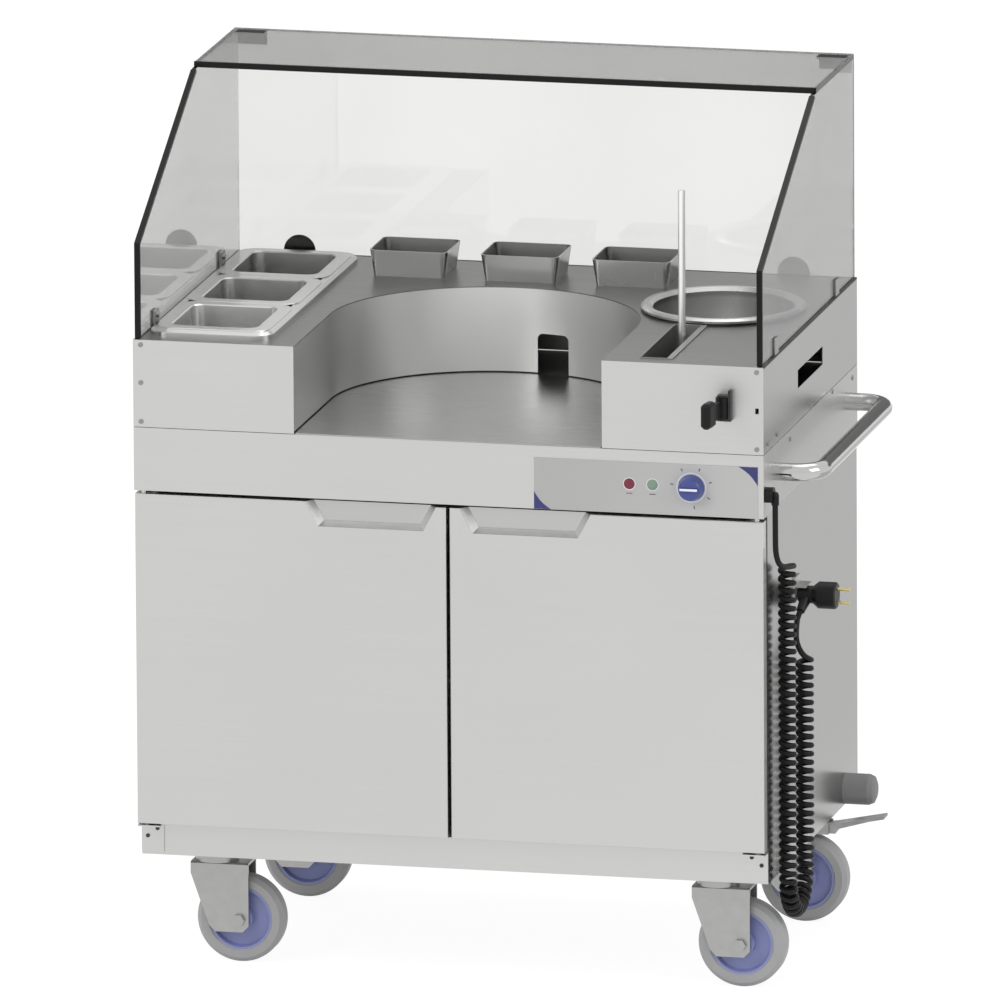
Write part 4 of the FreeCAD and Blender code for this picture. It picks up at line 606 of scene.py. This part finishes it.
def finish_nodes():
    """Every CAD node but the cord gets its finish."""
    finishes = {
        brushed("steel_front", *COVER_STEEL): ("base_tray", "back_panel", "inner_shelf", "table_top",
                                               "housing_side_left", "plug_holder"),
        back_finish(): ("housing_back",),
        door_finish(): ("door_left", "door_right"),
        cover_finish(): ("housing_fronts",),
        bracket_finish(): ("hinge_brackets",),
        satin("steel_side", *SIDE_STEEL): ("side_panel_left", "side_panel_right"),
        right_wall_finish(): ("housing_side_right",),
        brushed("steel_deck", *DECK_STEEL): ("housing_deck",),
        satin("steel_trough", *TROUGH_STEEL): ("knife_trough",),
        brushed("steel_plate", *PLATE_STEEL, PLATE_VARIATION): ("recess_plate",),
        recess_wall_finish(): ("recess_wall",),
        satin("steel_polished", *POLISHED_STEEL): ("push_handle",),
        satin("steel_rod", *ROD_STEEL): ("upright_rod",),
        satin("steel_fittings", *FITTINGS_STEEL): ("glass_fittings",),
        satin("steel_screws", *SCREW_STEEL): ("housing_screws",),
        dish_finish(): ("dish_left", "dish_middle", "dish_right"),
        pot_finish(): ("sauce_pot",),
        rim_finish(): ("gn_frame", "gn_pan_front", "gn_pan_middle", "gn_pan_rear"),
        brushed("zinc_plate", *ZINC, ZINC_VARIATION): nodes_named("castor_plates", "castor_fork",
                                                                  "brake_pedal"),
        brushed("heater_steel", *HEATER_STEEL, HEATER_VARIATION): ("heating_element",),
        moulded("black_plastic"): ("locking_lever", "cord_gland"),
        moulded("black_trim"): ("edge_trim",),
        moulded("dark_rubber"): ("bumpers",),
        moulded("grey_tyre"): nodes_named("wheel_tyre"),
        moulded("blue_hub"): nodes_named("wheel_hub"),
        moulded("blue_knob"): ("thermostat_knob",),
        moulded("red_lens"): ("red_lamp",),
        moulded("green_lens"): ("green_lamp",),
        panel_finish(): ("control_panel",),
        pane("glass_side", *SIDE_PANE): ("side_glasses",),
        pane("glass_top", *TOP_PANE): ("top_glass",),
        pane("glass_back", *BACK_PANE): ("back_glass",),
        plug_finish(): ("plug",),
    }
    for material, names in finishes.items():
        for name in names:
            slots = NODES[name].data.materials
            for index in range(len(slots)):
                slots[index] = material
            if not slots:
                slots.append(material)


# ---- curly cord --------------------------------------------------------------------------------------
CORD_RADIUS = 4.1
CURL_RADIUS = 9.4
CURLS = 74
POINTS_PER_CURL = 14
ROUTE_STEPS = 24
CORD_STEPS = 3
CORD_ROUNDNESS = 3
CORD_GRAIN = 500.0
CORD_EXIT = (913.5, 13.0, 545.0)
CORD_LEAD_IN = [
    CORD_EXIT,
    (913.5, 13.0, 532.0),
    (913.5, 13.3, 505.0),
    (913.5, 14.0, 474.0),
    (916.5, 27.0, 455.0),
    (922.5, 48.0, 449.0),
]
COIL_X = 917.0
COIL_ROUTE = [
    (COIL_X, 71.0, 446.0),
    (COIL_X, 71.0, 370.0),
    (COIL_X, 71.0, 290.0),
    (COIL_X, 71.0, 210.0),
    (COIL_X, 71.0, 130.0),
    (COIL_X, 71.0, 70.0),
    (COIL_X, 71.0, 22.0),
    (COIL_X, 71.0, -23.6),
    (COIL_X, 102.9, -55.5),
    (COIL_X, 148.1, -55.5),
    (COIL_X, 180.0, -23.6),
    (COIL_X, 180.0, 22.0),
    (COIL_X, 180.0, 70.0),
    (COIL_X, 180.0, 130.0),
    (COIL_X, 180.0, 200.0),
    (COIL_X, 180.0, 287.0),
]
CORD_LEAD_OUT = [
    (918.0, 164.0, 296.0),
    (909.0, 158.0, 318.0),
    (908.0, 172.0, 344.0),
    (908.5, 178.7, 349.4),
    (910.1, 184.8, 354.7),
]


SPLINE_ORDER = 3


def spline_curve(name, points):
    """Curve of one open smooth spline through control points in metres."""
    curve = bpy.data.curves.new(name, "CURVE")
    curve.dimensions = "3D"
    spline = curve.splines.new("NURBS")
    spline.points.add(len(points) - 1)
    for target, point in zip(spline.points, points):
        target.co = (*point, 1.0)
    spline.order_u = SPLINE_ORDER
    spline.use_endpoint_u = True
    piece = bpy.data.objects.new(name, curve)
    bpy.context.scene.collection.objects.link(piece)
    return piece


def points_along(piece):
    """Points along a curve that has no thickness, and how far along it each lies."""
    bpy.context.view_layer.update()
    mesh = bpy.data.meshes.new_from_object(piece)
    points = [vertex.co.copy() for vertex in mesh.vertices]
    bpy.data.meshes.remove(mesh)
    distances = [0.0]
    for previous, point in zip(points, points[1:]):
        distances.append(distances[-1] + (point - previous).length)
    return points, distances


def curls():
    """Control points of the curls: a helix round the coil's middle line."""
    route = spline_curve("coil_route", [place(*point) for point in COIL_ROUTE])
    route.data.resolution_u = ROUTE_STEPS
    points, distances = points_along(route)
    bpy.data.objects.remove(route)
    across = Vector((1.0, 0.0, 0.0))
    radius = CURL_RADIUS * MM
    steps = CURLS * POINTS_PER_CURL
    found = []
    index = 0
    for step in range(steps + 1):
        reached = distances[-1] * step / steps
        while index < len(points) - 2 and distances[index + 1] < reached:
            index += 1
        span = distances[index + 1] - distances[index]
        share = (reached - distances[index]) / span
        middle = points[index].lerp(points[index + 1], share)
        heading = (points[index + 1] - points[index]).normalized()
        inward = across.cross(heading)
        angle = 2.0 * math.pi * step / POINTS_PER_CURL
        found.append(middle + across * (radius * math.cos(angle))
                     + inward * (radius * math.sin(angle)))
    return found


def add_cord():
    """Curly supply cord that hangs as a U from the gland to the plug."""
    lead_in = [place(*point) for point in CORD_LEAD_IN]
    lead_out = [place(*point) for point in CORD_LEAD_OUT]
    cord = spline_curve("supply_cord", lead_in + curls() + lead_out)
    cord.data.bevel_depth = CORD_RADIUS * MM
    cord.data.bevel_resolution = CORD_ROUNDNESS
    cord.data.resolution_u = CORD_STEPS
    cord.data.use_fill_caps = True
    cord.data.materials.append(moulded("cord_rubber", CORD_GRAIN))
    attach(cord, "cabinet")
    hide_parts("power_cord")


# ---- printed details of the control panel ------------------------------------------------------------
def mesh_piece(name, build, material, body):
    """Object from a bmesh that build fills in, riding on a body."""
    shape = bmesh.new()
    build(shape)
    bmesh.ops.recalc_face_normals(shape, faces=shape.faces)
    mesh = bpy.data.meshes.new(name)
    shape.to_mesh(mesh)
    shape.free()
    piece = bpy.data.objects.new(name, mesh)
    bpy.context.scene.collection.objects.link(piece)
    mesh.materials.append(material)
    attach(piece, body)


def raised_outline(shape, outline, face, depth):
    """Flat plate on a face at Y, standing out towards -Y; outline is (x, z) in metres."""
    front = [shape.verts.new((x, face - depth, z)) for x, z in outline]
    back = [shape.verts.new((x, face, z)) for x, z in outline]
    shape.faces.new(front)
    shape.faces.new(list(reversed(back)))
    count = len(outline)
    for index in range(count):
        following = (index + 1) % count
        shape.faces.new((front[index], back[index], back[following], front[following]))


PRINT_DEPTH = 0.12 * MM
CORNER_SIZES = ((24.0, 25.0), (27.5, 26.5))
CORNER_HOLLOW = 0.15
CORNER_STEPS = 10


def corner_outline(corner_x, corner_z, toward_x, toward_z, width, height):
    """Triangle in a corner whose long side is hollow."""
    outline = [(corner_x, corner_z)]
    for step in range(CORNER_STEPS + 1):
        share = step / CORNER_STEPS
        sag = 1.0 - CORNER_HOLLOW * 4.0 * share * (1.0 - share)  # deepest halfway
        outline.append((corner_x + toward_x * width * (1.0 - share) * sag,
                        corner_z + toward_z * height * share * sag))
    return outline


RING_STEPS = 72
DIAL_RING = (19.6, 21.6)
LAMP_RING = (7.9, 9.0)
TICK_ANGLES = (172.0, 119.0, 66.0, 17.0, -30.0, -82.0)
TICK_START = 26.0
TICK_LENGTH = 4.5
TICK_WIDTH = 1.5
DASH_LENGTH = 9.0
DASH_WIDTH = 1.3
DASH_DROP = 13.5


def ring(shape, centre, radii, face, depth):
    """Flat ring on a face at Y, standing out towards -Y."""
    loops = []
    for radius in radii:
        for out in (0.0, depth):
            loop = []
            for step in range(RING_STEPS):
                angle = 2.0 * math.pi * step / RING_STEPS
                loop.append(shape.verts.new((centre.x + radius * MM * math.cos(angle), face - out,
                                             centre.z + radius * MM * math.sin(angle))))
            loops.append(loop)
    inner_back, inner_front, outer_back, outer_front = loops
    for step in range(RING_STEPS):
        following = (step + 1) % RING_STEPS
        for one, other in ((inner_front, outer_front), (outer_front, outer_back),
                           (outer_back, inner_back), (inner_back, inner_front)):
            shape.faces.new((one[step], one[following], other[following], other[step]))


def node_middle(name):
    low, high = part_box(name)
    return (low + high) / 2


def dash(shape, start, end, width, face):
    """Short bar between two (x, z) places on a face at Y."""
    side = (end - start).normalized() * (width / 2)
    side = Vector((-side.y, side.x))
    corners = (start + side, start - side, end - side, end + side)
    raised_outline(shape, [tuple(corner) for corner in corners], face, PRINT_DEPTH)


def add_panel_print():
    low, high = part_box("control_panel")
    face = low.y
    blue = moulded("print_blue")
    pale = moulded("print_pale")
    dark = moulded("print_dark")
    rosy = moulded("print_red")
    corners = (("panel_corner_low", low.x, low.z, 1.0, 1.0),
               ("panel_corner_high", high.x, high.z, -1.0, -1.0))
    for (name, x, z, toward_x, toward_z), (width, height) in zip(corners, CORNER_SIZES):
        outline = corner_outline(x, z, toward_x, toward_z, width * MM, height * MM)
        mesh_piece(name, lambda shape: raised_outline(shape, outline, face, PRINT_DEPTH), blue,
                   "cabinet")
    knob = node_middle("thermostat_knob")
    lamps = [node_middle("red_lamp"), node_middle("green_lamp")]

    def rings(shape):
        ring(shape, knob, DIAL_RING, face, PRINT_DEPTH)
        for lamp in lamps:
            ring(shape, lamp, LAMP_RING, face, PRINT_DEPTH)

    def ticks(shape):
        for degrees in TICK_ANGLES:
            out = Vector((math.cos(math.radians(degrees)), math.sin(math.radians(degrees))))
            start = Vector((knob.x, knob.z)) + out * (TICK_START * MM)
            dash(shape, start, start + out * (TICK_LENGTH * MM), TICK_WIDTH * MM, face)

    def lamp_dash(shape, lamp):
        middle = Vector((lamp.x, lamp.z - DASH_DROP * MM))
        half = Vector((DASH_LENGTH * MM / 2, 0.0))
        dash(shape, middle - half, middle + half, DASH_WIDTH * MM, face)

    mesh_piece("panel_rings", rings, pale, "cabinet")
    mesh_piece("dial_ticks", ticks, dark, "cabinet")
    mesh_piece("red_lamp_mark", lambda shape: lamp_dash(shape, lamps[0]), rosy, "cabinet")
    mesh_piece("green_lamp_mark", lambda shape: lamp_dash(shape, lamps[1]), dark, "cabinet")


POINTER_LENGTH = 25.0
POINTER_WIDTH = 3.2
POINTER_RISE = 0.8


def add_pointer_line():
    """White line on the knob's ridge."""
    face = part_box("thermostat_knob")[0].y
    centre = node_middle("thermostat_knob")
    centre_z = centre.z + POINTER_RISE * MM
    half_length = POINTER_LENGTH * MM / 2
    half_width = POINTER_WIDTH * MM / 2
    outline = [(centre.x - half_length, centre_z - half_width),
               (centre.x + half_length, centre_z - half_width),
               (centre.x + half_length, centre_z + half_width),
               (centre.x - half_length, centre_z + half_width)]
    mesh_piece("pointer_line", lambda shape: raised_outline(shape, outline, face, PRINT_DEPTH),
               moulded("pointer_white"), "thermostat_knob")


# ---- the scene ---------------------------------------------------------------------------------------
bpy.context.scene.view_settings.view_transform = "Standard"
add_camera()
add_world()
add_floor()
add_card("rear_card", REAR_CARD, REAR_CARD_TONE)
add_card("floor_card", FLOOR_CARD, FLOOR_CARD_TONE)
add_lamps()
add_cord()
finish_nodes()
add_panel_print()
add_pointer_line()
